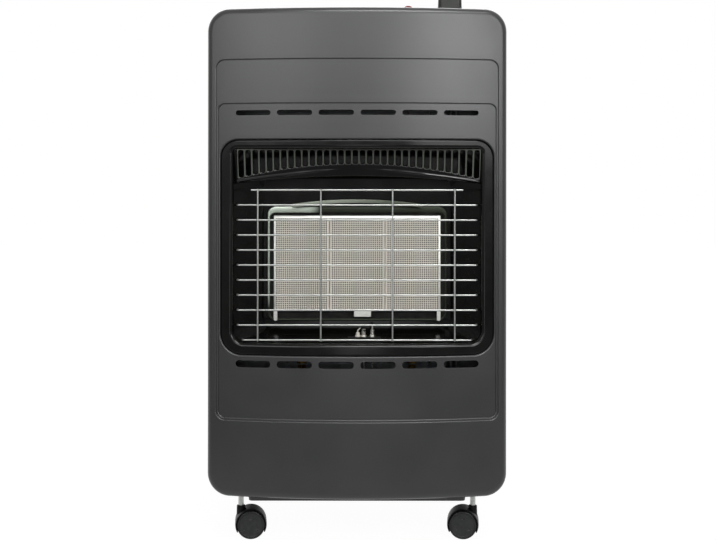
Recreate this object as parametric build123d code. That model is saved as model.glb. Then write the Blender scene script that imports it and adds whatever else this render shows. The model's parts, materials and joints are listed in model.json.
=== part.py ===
from build123d import *
import os

# Portable gas cabinet heater. Millimetres. +Z up, the heater's front faces -Y, and +X is on the
# right of someone who looks at the front. The origin is on the floor under the middle.

# ------------------------------------------------------------------ cabinet
WIDTH = 415.0  # across the front panel
DEPTH = 425.0  # from the middle of the bowed front to the back of the door
PANEL_BOTTOM = 72.0  # front panel above the floor
BOW = 26.0  # how far the middle of the front stands ahead of its side edges
SHEET = 1.0  # cabinet sheet steel
FIT = 0.3  # gap between pieces that sit in or against each other
RUN = 0.05  # radial clearance of a turning or sliding fit
PRESS = 0.02  # radial clearance of a pressed fit
WELD_GAP = 0.05  # between faces that are clamped or welded together

PANEL_CORNER = 31.0
EDGE_ROLL = 9.0  # radius of the rolled outer edge of the front panel
PANEL_RIM = 16.0  # rim of the front panel behind its side edges
SIDE_BORDER = 12.5  # plain border beside the pressed field
LOW_BORDER = 107.0  # plain border below the pressed field
TOP_BORDER = 71.5  # plain border above the pressed field
BAND_HEIGHT = 60.5  # top band of the field, pressed in the first step only
RECESS_CORNER = 12.0
RECESS_STEP = 2.0  # depth of each of the field's two steps
RECESS_INSET = 3.0  # second step inside the first
RECESS_BEND = 1.5  # bend radius of each step

SLOT_COUNT = 6
SLOT_LENGTH = 48.5
SLOT_PITCH = 57.4
UPPER_SLOT_DROP = 12.4  # middle of the upper slots below the band
UPPER_SLOT_HEIGHT = 7.0
LOWER_SLOT_RISE = 77.4  # middle of the lower slots above the field's lower edge
LOWER_SLOT_HEIGHT = 9.6

WINDOW_BORDER = 5.5  # pressed field beside the window
WINDOW_RISE = 89.0  # window above the field's lower edge
WINDOW_HEIGHT = 298.0
WINDOW_DROP = 49.0  # window below the band
WINDOW_CORNER_LOW = 30.0
WINDOW_CORNER_HIGH = 25.0
WINDOW_RETURN = 8.0  # depth of the flange turned in around the window
WINDOW_ROLL = 1.8

# ------------------------------------------------------------------ casing round the back
SIDE_FRONT = 11.0  # front edge of the side panels behind the edge plane
SIDE_FLANGE = 14.0
REAR_FLANGE = 26.0
LEDGE_REACH = 52.2  # bottom ledge of a side panel
TOP_LEDGE_REACH = 34.2  # top ledge of a side panel
SIDE_RISE = 1.3  # bottom corners of the casing are this much tighter than its top corners
SIDE_REAR_GAP = 11.5  # back of the side panels ahead of the door's outer face
TOP_INSET = 21.5  # side edges of the top panel inside the front panel's
TOP_CORNER = 5.0
TOP_BEVEL = 0.4
SLEEVE_ROOM = 3.0  # space round the push sleeve in the top panel
VENT_COUNT = 5
VENT_LENGTH = 120.0
VENT_HEIGHT = 6.0
VENT_PITCH = 16.0
VENT_LOW_RISE = 55.2  # lowest side vent above the casing's bottom
VENT_HIGH_DROP = 145.7  # lowest of the upper side vents below the casing's top
REAR_INSET = 10.5  # side edges of the rear covers inside the front panel's
REAR_PAN = 9.0  # depth of the pressed rear covers
REAR_CORNER = 8.0
REAR_ROLL = 3.0
DOOR_RISE = 13.5  # door above the tray
DOOR_HEIGHT = 468.0
DOOR_GAP = 4.0  # between the door and the cover above it
DOOR_VENT_COUNT = 7
DOOR_VENT_RISE = 40.0
UPPER_VENT_RISE = 38.0  # plain border above and below the upper cover's slots
PULL_LENGTH = 84.0
PULL_HEIGHT = 26.0
PULL_INSET = 38.0

HINGE_INSET = 4.5  # hinge axis inside the front panel's side edge
HINGE_SINK = 5.5  # hinge axis ahead of the door's outer face
PINTLE_RADIUS = 1.5
KNUCKLE_RADIUS = 3.0
KNUCKLE_LENGTH = 14.0
LEAF = 1.2
LEAF_WIDTH = 16.0
LEAF_RISE = 10.0  # door leaf above its knuckle
LEAF_EDGES = (0.5, 3.5)  # door leaf inside the front and back of the door's rim
PINTLE_SHORT = 2.0  # pin shorter than its knuckle
HINGE_LOW = 70.0  # lower hinge above the door's bottom
HINGE_HIGH = 90.0  # upper hinge below the door's top
CATCH_DROP = 86.0  # catch below the door's top
CATCH_HALF = 6.0
CATCH_EDGE = 2.0  # catch inside the edge of the rear flange
CATCH_TALL = 40.0
CATCH_DEEP = 5.0
CATCH_BORDER = 2.0  # case beside the magnet
MAGNET_TALL = 28.0
MAGNET_PROUD = 1.2
STRIKER_TALL = 36.0
STRIKER_SKIN = 1.5
CATCH_CORNER = 3.0
MAGNET_CORNER = 1.0

SCREW_RADIUS = 1.9
SCREW_CLEAR = 0.15
SCREW_HEAD = 3.6
SCREW_HEAD_HEIGHT = 1.8
SCREW_ROLL = 1.2
SCREW_LENGTH = 6.0
SCREW_FRONT = 20.0  # front screws of the top panel behind the front panel's rim
SCREW_REAR = 30.0  # rear screws ahead of the back
SCREW_EDGE = 9.0  # screws inside the top panel's side edges

# ------------------------------------------------------------------ base tray
TRAY_SHEET = 1.2
TRAY_INSET = 29.5  # side edges of the tray inside the front panel's
TRAY_FRONT = 12.5  # front edge of the tray behind the edge plane
TRAY_RIM = 14.0
TRAY_DROP = 13.3  # depth of the dropped floor that carries the cylinder
TRAY_BORDER = 26.0  # flat border of the tray beside the dropped floor
DROP_FRONT = 6.0  # dropped floor behind the front edge of the tray
DROP_REAR = 8.0  # dropped floor ahead of the back of the side panels
DROP_SLOPE = 2.0  # how far the dropped floor's walls lean out
DROP_CORNER = 6.0

# ------------------------------------------------------------------ casters
STEM_INSET = 41.7  # stems inside the front panel's side edges
FRONT_STEM = 55.0  # front stems behind the edge plane
REAR_STEM = 62.5  # rear stems ahead of the back
STEM_RADIUS = 4.0
STEM_RISE = 17.5  # top of the stems above the tray
STEM_SEAT = 11.0  # length of stem in the hood's boss
STEM_BEVEL = 0.8
WHEEL_RADIUS = 20.0
WHEEL_WIDTH = 13.0
WHEEL_GAP = 8.6  # between the two wheels of a caster
WHEEL_ROLL = 1.6  # rounding of the tread's edges
HUB_BORDER = 3.5  # tread's rim round the sunk side of a wheel
HUB_SINK = 1.0
HUB_BOSS = 3.0  # raised hub round the axle
TRAIL = 14.0
HOOD_GAP = 0.8  # running gap between a wheel and its hood
HOOD_LIP = 0.7  # hood beyond the wheels' outer sides
HOOD_SKIN = 1.7
HOOD_SKIRT = 9.5  # hood's lower ends below the axle
HOOD_ROLL = 1.2
BOSS_RADIUS = 6.4
BOSS_HEIGHT = 28.0  # boss above the axle
AXLE_RADIUS = 2.0
AXLE_SHORT = 3.0  # axle's ends inside the wheels' outer sides
SLEEVE_RADIUS = 7.0
SLEEVE_FLANGE = 11.0
SLEEVE_COLLAR = 9.5  # under the tray
SLEEVE_RIM = 2.0  # thickness of the flange and the collar
SLEEVE_DROP = 11.3  # sleeve below the tray
CASTER_YAW = {
    "front_left": 5.5,
    "front_right": 174.5,
    "rear_left": 75.0,
    "rear_right": 105.0,
}

# ------------------------------------------------------------------ firebox
BEZEL_SINK = 6.0  # bezel face behind the bow of the front
BEZEL_SIDE = 17.5  # bezel beside, below and above its opening
BEZEL_LOW = 16.5
BEZEL_HIGH = 13.0
OPENING_CORNER = 16.0
OPENING_CORNER_HIGH = 6.0
BEZEL_ROLL = 5.0
BEZEL_OUTER_ROLL = 2.5
BEZEL_DEPTH = 12.0  # back edge of the bezel behind the edge plane

LOUVRE_PITCH = 9.95
LOUVRE_WIDTH = 6.2
LOUVRE_MARGIN = 4.0  # least plain plate beside the outer slots
LOUVRE_HEADER = 3.5  # plain plate above the slots
LOUVRE_ARCH_DROP = 20.0  # middle of the arch that ends the slots, below the opening's top
LOUVRE_ARCH_RADIUS = 690.0
HOOD_LIP_DROP = 36.0  # middle of the hood's lower lip, below the opening's top
HOOD_LIP_RADIUS = 1350.0
LOUVRE_TOP_Y = -1.0  # top of the sloping louvre plate behind the edge plane
LOUVRE_LOW_Y = 9.0
LOUVRE_FLANGE = 9.0

PAN_SHEET = 0.8
MOUTH_DROP = 2.0  # pan's mouth below the bezel's opening
PAN_MOUTH_CORNER = 16.0
PAN_BACK_CORNER = 12.0
PAN_SIDE = 4.5  # pan's back beside, below and above the burner's surround
PAN_LOW = 10.0
PAN_HIGH = 37.0
PAN_DEPTH = 34.0
PAN_FLANGE = 9.0
PILOT_HOLE = (-7.0, 30.0)  # from left to right
PILOT_HOLE_HALF = 4.0

WIRE_RADIUS = 1.25
GUARD_Y = 3.0  # horizontal wires behind the edge plane
GUARD_RISE = 3.9  # lowest wire above the opening's bottom
GUARD_PITCH = 20.84
GUARD_WIRES = 11
GUARD_INSET = 5.0  # hooked wires inside the opening's sides
GUARD_TOP_SHORT = 20.0  # straight top wire, shorter at each end
GUARD_LOW_SHORT = 7.0  # lowest wire, shorter at each end
GUARD_BEND = 4.0
GUARD_UPRIGHTS = (-137.0, -51.0, 48.5, 134.0)

# ------------------------------------------------------------------ burner
PLAQUE_WIDTH = 78.6
PLAQUE_PITCH = 79.4
BURNER_RISE = 38.7  # plaques above the opening's bottom
PLAQUE_HEIGHT = 136.7
PLAQUE_THICK = 12.0
BURNER_PROUD = 6.3  # face of the plaques ahead of the pan's back
PLAQUE_BEVEL = 0.8
FRAME_LIP = 2.8
FRAME_PROUD = 1.5
FRAME_SKIN = 1.2
LEG_WIDTH = 5.0
LEG_DROP = 12.5
CLIP_X = 8.0
CLIP_WIDTH = 24.0
CLIP_DROP = 7.5
SURROUND_SIDE = 8.55  # surround beside, below and above the burner's frame
SURROUND_LOW = 11.95
SURROUND_HIGH = 13.85
SURROUND_CORNER = 12.0
SURROUND_SKIN = 1.6
SURROUND_ROLL = 1.2
HOOD_ARCH_HALF = 92.0
HOOD_ARCH_RISE = 8.0
HOOD_ARCH_REACH = 16.0
HOOD_ARCH_SKIN = 1.0
GASKET = 1.5
GASKET_RIB = 4.0  # gasket round each chamber
BODY_BORDER = 1.45  # mixture box above and below the burner's frame
BODY_DEPTH = 20.0
BODY_SKIN = 1.0
BODY_EDGE = 4.0  # solid edge above and below the chambers
BODY_CORNER = 6.0
BODY_ROLL = 4.0
VENTURI_RADIUS = 9.0
VENTURI_MOUTH = 13.0
VENTURI_BELL = 14.0  # height of the bell mouth
VENTURI_WALL = 1.0
VENTURI_LENGTH = 52.5
INJECTOR_GAP = 6.0  # nozzle below the venturi
INJECTOR_LENGTH = 22.0
NOZZLE_RADIUS = 3.2
INJECTOR_HEX = 7.0
INJECTOR_HEX_LENGTH = 7.0
PIPE_NUT_HEX = 5.6
PIPE_NUT_LENGTH = 5.0
BRACKET_RISE = 6.0  # bracket above the injectors' lower ends
BRACKET_SKIN = 1.5
BRACKET_OVERHANG = 22.0  # bracket beyond the outer injectors
BRACKET_FRONT = 10.0  # bracket ahead of the injectors
BRACKET_WALL = 14.0
SHIELD_GAP = 5.0  # between the burner body and the heat shield
SHIELD_SKIN = 0.8
SHIELD_RISE = 31.5  # shield above the tray
SHIELD_DROP = 45.0  # shield below the valve
SHIELD_FLANGE = 12.0
SHIELD_NOTCH = (-34.0, 20.0)  # gap in the top flange for the pipes, from the valve's axis

# ------------------------------------------------------------------ pilot group
SHELF_RISE = 5.7  # shelf above the opening's bottom
SHELF_SKIN = 1.2
SHELF_FRONT = 5.5  # shelf ahead of and behind the pilot's axis
SHELF_REAR = 3.6
SHELF_SIDES = (6.0, 3.0)  # shelf beyond the hole in the pan, left and right
NUT_LOW = 2.4  # height of the pilot's and the sensor's nuts
PILOT_Y = 20.5  # pilot group behind the edge plane
ELECTRODE_X = 1.0
ELECTRODE_RADIUS = 2.6
ELECTRODE_UNDER = 8.0  # below the shelf
ELECTRODE_OVER = 6.0
ELECTRODE_COLLAR = 3.6
ELECTRODE_COLLAR_SKIN = 2.0
SPARK_RADIUS = 0.8
SPARK_RISE = 9.0
SPARK_LEAN = (3.5, 12.0)  # where the spark wire ends
SPARK_BEND = 1.5
PILOT_X = 9.4
PILOT_RADIUS = 3.0
PILOT_UNDER = 9.0
PILOT_OVER = 11.0
PILOT_HEX = 4.4
FLAME_SLOT = (7.5, 9.5)  # levels of the pilot's flame slot
THERMO_X = 21.3
THERMO_RADIUS = 3.0
THERMO_UNDER = 12.0
THERMO_OVER = 10.0
THERMO_HEX = 4.6
THERMO_TIP = 1.6
THERMO_TIP_OVER = 15.0
LEAD_RADIUS = 0.9
LEAD_BEND = 4.0
LEAD_ASIDE = 10.0  # sensor lead beside the boss that it enters
LEAD_AHEAD = 3.0  # and ahead of the shield
LEAD_OVER = 8.0

# ------------------------------------------------------------------ controls
KNOB_INSET = 72.5  # valve and knob axis inside the front panel's side edge
KNOB_Y = 90.0  # valve and knob axis behind the edge plane
KNOB_GAP = 0.5  # between the pushed knob and the top panel
KNOB_HEIGHT = 38.8
KNOB_RADIUS = 18.0
KNOB_SKIRT = 7.0
KNOB_ROLL = 2.5
SKIRT_ROLL = 3.0
GRIP_SHORT = 0.5  # grip inside the skirt at each end
GRIP_SUNK = 2.0
GRIP_THICK = 19.0
GRIP_CORNER = 6.0
GRIP_TAPER = 2.0  # degrees
SPINDLE_RADIUS = 4.0
SPINDLE_FLAT = 1.4  # depth of the spindle's flat
SPINDLE_REACH = 20.8  # spindle above the knob's underside
SPINDLE_COLLAR = 1.6
COLLAR_SKIN = 1.5
FLAT_RISE = 3.0  # flat above the knob's underside
SLEEVE_OUT = 6.0  # radius of the push sleeve
SLEEVE_LIFT = 2.6  # pushed sleeve above the valve
SLEEVE_SHOULDER = 1.2
SHOULDER_SKIN = 1.6
SLEEVE_FLOOR = 4.0
PUSH_TRAVEL = 4.0
VALVE_HANG = 8.0  # valve below the casing's top
VALVE_HEIGHT = 37.7
VALVE_HALF = 16.0
VALVE_DEEP = 14.0  # half depth
VALVE_CORNER = 4.0
VALVE_RADIUS = 13.0
VALVE_LOBE = 20.0  # height of the square lower half
VALVE_FLANGE = (40.0, 22.0)
VALVE_FLANGE_SKIN = 4.0
VALVE_FLANGE_CORNER = 6.0
SENSOR_BOSS = 5.0
SENSOR_REACH = 4.0
BORE_FLOOR = 3.0
SPRING_ROOM = 9.0  # height left for the compressed spring
SPRING_RADIUS = 4.6
SPRING_WIRE = 0.45
SPRING_TURNS = 5
BRIDGE_HALF = 14.0  # valve's bracket, before and behind its axis
BRIDGE_SIDES = (-24.0, 16.0)
BRIDGE_FOOT = 10.0
BRIDGE_ROOM = 2.5  # space round the push sleeve
BUTTON_X = 73.0
BUTTON_Y = 60.0  # igniter behind the edge plane
BUTTON_RADIUS = 6.0
BUTTON_RISE = 13.6  # button above the top panel
BUTTON_TRAVEL = 6.0
BUTTON_BORE = 31.0  # bore of the igniter below the button's top
BUTTON_DOME = 4.0
IGNITER_RADIUS = 9.0
IGNITER_FLANGE = 12.0
IGNITER_RING = 3.4
IGNITER_ROLL = 1.5
IGNITER_LENGTH = 43.7
NUT_HEX = 14.0
NUT_SKIN = 4.0
THREAD_FIT = 0.03
TAIL_RISE = 12.0  # hose tail above the valve's bottom
TAIL_RADIUS = 4.0
TAIL_LENGTH = 30.0
TAIL_BORE = 2.0
TAIL_HEX = 8.0
TAIL_HEX_LENGTH = 8.0
STUB_RADIUS = 3.4  # tail's stub in the valve
STUB_LENGTH = 5.0
GROOVE_COUNT = 4
GROOVE_START = 14.0
GROOVE_PITCH = 6.0
GROOVE_WIDTH = 1.5
GROOVE_DEPTH = 0.5
PIPE_RADIUS = 3.0
PIPE_STEP = 8.0
PIPE_CLEAR = 8.0  # highest level run below the injectors, and the thin ones below that
PIPE_DROP = 10.0
PIPE_OVER = 17.0  # pipes above the shield
PIPE_AHEAD = 4.5  # pipes ahead of the valve's axis
PIPE_BENDS = (5.0, 7.0, 7.0)
PILOT_PIPE_RADIUS = 2.0
PILOT_PIPE_BEND = 5.0
PILOT_PIPE_IN = 6.0  # inside the valve's side
PILOT_PIPE_BACK = 9.0  # behind the valve's axis
PILOT_PIPE_AHEAD = 6.5  # ahead of the shield
PILOT_PIPE_OVER = 9.0
LEAD_SLEEVE = 1.3
SPARK_LEAD_BEND = 6.0
SPARK_LEAD_OUT = 11.0  # outside the burner body
SPARK_LEAD_DROP = 103.0  # below the igniter
SPARK_LEAD_LOW = 4.0  # below the venturis

# ------------------------------------------------------------------ worked out: cabinet
HALF = WIDTH / 2
FRONT_Y = -DEPTH / 2
REAR_Y = DEPTH / 2
EDGE_Y = FRONT_Y + BOW  # plane of the front panel's side edges
RIM_Y = EDGE_Y + PANEL_RIM
BOW_RADIUS = (HALF**2 + BOW**2) / (2 * BOW)
BOW_CENTRE = FRONT_Y + BOW_RADIUS
AHEAD = FRONT_Y - 10.0  # in front of everything, where cuts start

RECESS_HALF = HALF - SIDE_BORDER
RECESS_BOTTOM = PANEL_BOTTOM + LOW_BORDER
LOWER_SLOT_Z = RECESS_BOTTOM + LOWER_SLOT_RISE
WINDOW_HALF = RECESS_HALF - WINDOW_BORDER
WINDOW_BOTTOM = RECESS_BOTTOM + WINDOW_RISE
WINDOW_TOP = WINDOW_BOTTOM + WINDOW_HEIGHT
BAND_BOTTOM = WINDOW_TOP + WINDOW_DROP
UPPER_SLOT_Z = BAND_BOTTOM - UPPER_SLOT_DROP
RECESS_TOP = BAND_BOTTOM + BAND_HEIGHT
PANEL_TOP = RECESS_TOP + TOP_BORDER

SIDE_OUT = HALF - SHEET - FIT
TRAY_UNDER = PANEL_BOTTOM + SHEET + FIT
TRAY_TOP = TRAY_UNDER + TRAY_SHEET
SIDE_LOW = TRAY_TOP + FIT
SIDE_HIGH = PANEL_TOP - SHEET - FIT
SIDE_Y0 = EDGE_Y + SIDE_FRONT
SIDE_Y1 = REAR_Y - SIDE_REAR_GAP
SIDE_LEDGE = SIDE_OUT - LEDGE_REACH
TOP_LEDGE = SIDE_OUT - TOP_LEDGE_REACH
TOP_HALF = HALF - TOP_INSET
TOP_Z = SIDE_HIGH + SHEET  # upper face of the top panel
REAR_HALF = HALF - REAR_INSET
DOOR_BOTTOM = TRAY_TOP + DOOR_RISE
DOOR_TOP = DOOR_BOTTOM + DOOR_HEIGHT
REAR_UPPER_BOTTOM = DOOR_TOP + DOOR_GAP
HINGE_X = HINGE_INSET - HALF
HINGE_Y = REAR_Y - HINGE_SINK
HINGE_HEIGHTS = (DOOR_BOTTOM + HINGE_LOW, DOOR_TOP - HINGE_HIGH)
CATCH_Z = DOOR_TOP - CATCH_DROP
CATCH_X = SIDE_OUT - REAR_FLANGE + CATCH_HALF + CATCH_EDGE

# ------------------------------------------------------------------ worked out: tray and casters
TRAY_HALF = HALF - TRAY_INSET
DROP_HALF = TRAY_HALF - TRAY_BORDER
STEM_X = HALF - STEM_INSET
STEM_TOP = TRAY_TOP + STEM_RISE
SLEEVE_BOTTOM = TRAY_UNDER - SLEEVE_DROP
HOOD_RADIUS = WHEEL_RADIUS + HOOD_GAP + HOOD_SKIN
HOOD_HALF = WHEEL_GAP / 2 + WHEEL_WIDTH + HOOD_LIP
HOOD_CUT = WHEEL_RADIUS - HOOD_SKIRT
BOSS_TOP = WHEEL_RADIUS + BOSS_HEIGHT
CASTERS = {
    "front_left": (-STEM_X, EDGE_Y + FRONT_STEM),
    "front_right": (STEM_X, EDGE_Y + FRONT_STEM),
    "rear_left": (-STEM_X, REAR_Y - REAR_STEM),
    "rear_right": (STEM_X, REAR_Y - REAR_STEM),
}

# ------------------------------------------------------------------ worked out: firebox and burner
OPENING_HALF = WINDOW_HALF - BEZEL_SIDE
OPENING_BOTTOM = WINDOW_BOTTOM + BEZEL_LOW
OPENING_TOP = WINDOW_TOP - BEZEL_HIGH
BEZEL_Y = EDGE_Y + BEZEL_DEPTH
PAN_Y = BEZEL_Y + FIT
PAN_BACK_Y = PAN_Y + PAN_DEPTH
LOUVRE_SLOT_TOP = OPENING_TOP - LOUVRE_HEADER
LOUVRE_COUNT = int((2 * (OPENING_HALF - LOUVRE_MARGIN) - LOUVRE_WIDTH) / LOUVRE_PITCH) + 1
LOUVRE_ARCH_Z = OPENING_TOP - LOUVRE_ARCH_DROP
HOOD_LIP_Z = OPENING_TOP - HOOD_LIP_DROP
GUARD_BOTTOM = OPENING_BOTTOM + GUARD_RISE
GUARD_HALF = OPENING_HALF - GUARD_INSET

PLAQUE_FRONT = PAN_BACK_Y - BURNER_PROUD
PLAQUE_BACK = PLAQUE_FRONT + PLAQUE_THICK
PLAQUE_BOTTOM = OPENING_BOTTOM + BURNER_RISE
PLAQUE_TOP = PLAQUE_BOTTOM + PLAQUE_HEIGHT
FRAME_HALF = PLAQUE_PITCH + PLAQUE_WIDTH / 2 + WELD_GAP + FRAME_SKIN
FRAME_LOW = PLAQUE_BOTTOM - WELD_GAP - FRAME_SKIN
FRAME_HIGH = PLAQUE_TOP + WELD_GAP + FRAME_SKIN
SURROUND_HALF = FRAME_HALF + SURROUND_SIDE
SURROUND_BOTTOM = FRAME_LOW - SURROUND_LOW
SURROUND_TOP = FRAME_HIGH + SURROUND_HIGH
HOOD_ARCH_TOP = SURROUND_TOP + HOOD_ARCH_RISE
PAN_MOUTH_HALF = OPENING_HALF + PAN_SHEET
PAN_MOUTH_BOTTOM = OPENING_BOTTOM - MOUTH_DROP
PAN_MOUTH_TOP = OPENING_TOP - MOUTH_DROP
PAN_BACK_HALF = SURROUND_HALF + PAN_SIDE
PAN_BACK_BOTTOM = SURROUND_BOTTOM - PAN_LOW
PAN_BACK_TOP = SURROUND_TOP + PAN_HIGH
BODY_HALF = FRAME_HALF + WELD_GAP
BODY_BOTTOM = FRAME_LOW - BODY_BORDER
BODY_TOP = FRAME_HIGH + BODY_BORDER
BODY_Y0 = PLAQUE_BACK + GASKET + 2 * WELD_GAP
BODY_Y1 = BODY_Y0 + BODY_DEPTH
VENTURI_Y = (BODY_Y0 + BODY_Y1) / 2
VENTURI_BOTTOM = BODY_BOTTOM - VENTURI_LENGTH
INJECTOR_TOP = VENTURI_BOTTOM - INJECTOR_GAP
INJECTOR_BOTTOM = INJECTOR_TOP - INJECTOR_LENGTH
BRACKET_Z = INJECTOR_BOTTOM + BRACKET_RISE
PILOT_PLACE_Y = EDGE_Y + PILOT_Y
SHELF_Z = OPENING_BOTTOM + SHELF_RISE

# ------------------------------------------------------------------ worked out: controls
KNOB_X = HALF - KNOB_INSET
VALVE_Y = EDGE_Y + KNOB_Y
VALVE_TOP = SIDE_HIGH - VALVE_HANG
VALVE_BOTTOM = VALVE_TOP - VALVE_HEIGHT
BORE_BOTTOM = VALVE_BOTTOM + BORE_FLOOR
SLEEVE_LOW = BORE_BOTTOM + 2 * SPRING_WIRE + PUSH_TRAVEL + SPRING_ROOM
SLEEVE_HIGH = VALVE_TOP + PUSH_TRAVEL + SLEEVE_LIFT
KNOB_BOTTOM = TOP_Z + PUSH_TRAVEL + KNOB_GAP
KNOB_TOP = KNOB_BOTTOM + KNOB_HEIGHT
SPINDLE_TOP = KNOB_BOTTOM + SPINDLE_REACH
TAIL_Z = VALVE_BOTTOM + TAIL_RISE
SHIELD_Y = BODY_Y1 + SHIELD_GAP
SHIELD_BOTTOM = TRAY_TOP + SHIELD_RISE
SHIELD_TOP = VALVE_BOTTOM - SHIELD_DROP
IGNITER_Y = EDGE_Y + BUTTON_Y
BUTTON_TOP = TOP_Z + BUTTON_RISE
IGNITER_BOTTOM = TOP_Z - IGNITER_LENGTH
PIPE_LEVELS = [INJECTOR_BOTTOM - PIPE_CLEAR - step * PIPE_DROP for step in range(3)]
LEAD_LEVEL = PIPE_LEVELS[-1] - PIPE_CLEAR
PILOT_LEVEL = LEAD_LEVEL - PIPE_CLEAR


# ------------------------------------------------------------------ shared shapes
def outline(width, height, low=0.0, high=None):
    """Rectangle with its own radius for the bottom and for the top corners."""
    high = low if high is None else high
    face = Rectangle(width, height)
    if low > 0:
        face = fillet(face.vertices().group_by(Axis.Y)[0], low)
    if high > 0:
        face = fillet(face.vertices().group_by(Axis.Y)[-1], high)
    return face


def prism(half, z0, z1, y0, y1, low=0.0, high=None, x=0.0):
    """Front-view outline that runs from y0 back to y1."""
    place = Plane((x, y1, (z0 + z1) / 2), x_dir=(1, 0, 0), z_dir=(0, -1, 0))
    return extrude(place * outline(2 * half, z1 - z0, low, high), amount=y1 - y0)


def block(x0, x1, y0, y1, z0, z1):
    """Box between six planes."""
    return Pos((x0 + x1) / 2, (y0 + y1) / 2, (z0 + z1) / 2) * Box(x1 - x0, y1 - y0, z1 - z0)


def rod(x, y, z0, z1, radius):
    """Upright cylinder."""
    return Pos(x, y, (z0 + z1) / 2) * Cylinder(radius, z1 - z0)


def rod_y(x, z, y0, y1, radius):
    """Cylinder that runs from front to back."""
    return Pos(x, (y0 + y1) / 2, z) * Rot(90, 0, 0) * Cylinder(radius, y1 - y0)


def rod_x(y, z, x0, x1, radius):
    """Cylinder that runs from left to right."""
    return Pos((x0 + x1) / 2, y, z) * Rot(0, 90, 0) * Cylinder(radius, x1 - x0)


def tube(points, radius, bend):
    """Round bar along straight runs joined by bends."""
    path = FilletPolyline(*points, radius=bend) if len(points) > 2 else Polyline(*points)
    start = Plane(path @ 0, z_dir=path % 0)
    return sweep(start * Circle(radius), path=path)


def behind_bow(sink):
    """Everything behind the bowed front, taken back by sink."""
    return Pos(0, BOW_CENTRE, PANEL_TOP / 2) * Cylinder(BOW_RADIUS - sink, PANEL_TOP + 100)


def bow_face(body, sink):
    """The bowed face of body that lies sink behind the front."""
    for face in body.faces().filter_by(GeomType.CYLINDER):
        if abs(face.radius - (BOW_RADIUS - sink)) < 0.01:
            return face


def slot_row(z, height, y0, y1):
    """Round-ended slots side by side, ready to cut."""
    place = Plane((0, y1, z), x_dir=(1, 0, 0), z_dir=(0, -1, 0))
    row = [place * spot * SlotOverall(SLOT_LENGTH, height)
           for spot in GridLocations(SLOT_PITCH, 0, SLOT_COUNT, 1)]
    return [extrude(slot, amount=y1 - y0) for slot in row]


# ------------------------------------------------------------------ front panel and casing
def panel_form(inset):
    """Solid with the front panel's surface, moved in by inset."""
    low, high = PANEL_BOTTOM + inset, PANEL_TOP - inset
    body = prism(HALF - inset, low, high, AHEAD, RIM_Y, PANEL_CORNER - inset) & behind_bow(inset)
    body = fillet(bow_face(body, inset).outer_wire().edges(), EDGE_ROLL - inset)
    steps = ((RECESS_TOP, 0.0, RECESS_STEP), (BAND_BOTTOM, RECESS_INSET, 2 * RECESS_STEP))
    for top, inside, sink in steps:
        field = prism(
            RECESS_HALF - inside + inset,
            RECESS_BOTTOM + inside - inset,
            top + inset,
            AHEAD,
            RIM_Y + 1,
            RECESS_CORNER - inside + inset,
        )
        body -= field - behind_bow(sink + inset)
        if inset == 0:
            land = bow_face(body, sink - RECESS_STEP)
            body = fillet(land.inner_wires()[0].edges(), RECESS_BEND)
    hole = prism(
        WINDOW_HALF + inset,
        WINDOW_BOTTOM - inset,
        WINDOW_TOP + inset,
        AHEAD,
        RIM_Y + 1,
        WINDOW_CORNER_LOW + inset,
        WINDOW_CORNER_HIGH + inset,
    )
    body -= hole
    if inset == 0:
        field = bow_face(body, 2 * RECESS_STEP)
        body = fillet(field.inner_wires()[0].edges(), WINDOW_ROLL)
    return body


def front_panel():
    """Bowed pressing with a rolled edge, a stepped field, a window and two rows of slots."""
    shell = panel_form(0) - panel_form(SHEET)
    spare = prism(
        WINDOW_HALF + 2 * SHEET,
        WINDOW_BOTTOM - 2 * SHEET,
        WINDOW_TOP + 2 * SHEET,
        AHEAD,
        RIM_Y + 1,
        WINDOW_CORNER_LOW + 2 * SHEET,
        WINDOW_CORNER_HIGH + 2 * SHEET,
    )
    shell -= spare & behind_bow(2 * RECESS_STEP + WINDOW_RETURN)
    shell -= slot_row(UPPER_SLOT_Z, UPPER_SLOT_HEIGHT, AHEAD, EDGE_Y)
    shell -= slot_row(LOWER_SLOT_Z, LOWER_SLOT_HEIGHT, AHEAD, EDGE_Y)
    return shell


def casing(inset, y0, y1):
    """Outline of the casing behind the front panel, from y0 back to y1."""
    low, high = SIDE_LOW + inset, SIDE_HIGH - inset
    corner = PANEL_CORNER - SHEET - FIT - inset
    return prism(SIDE_OUT - inset, low, high, y0, y1, corner - SIDE_RISE, corner)


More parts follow.
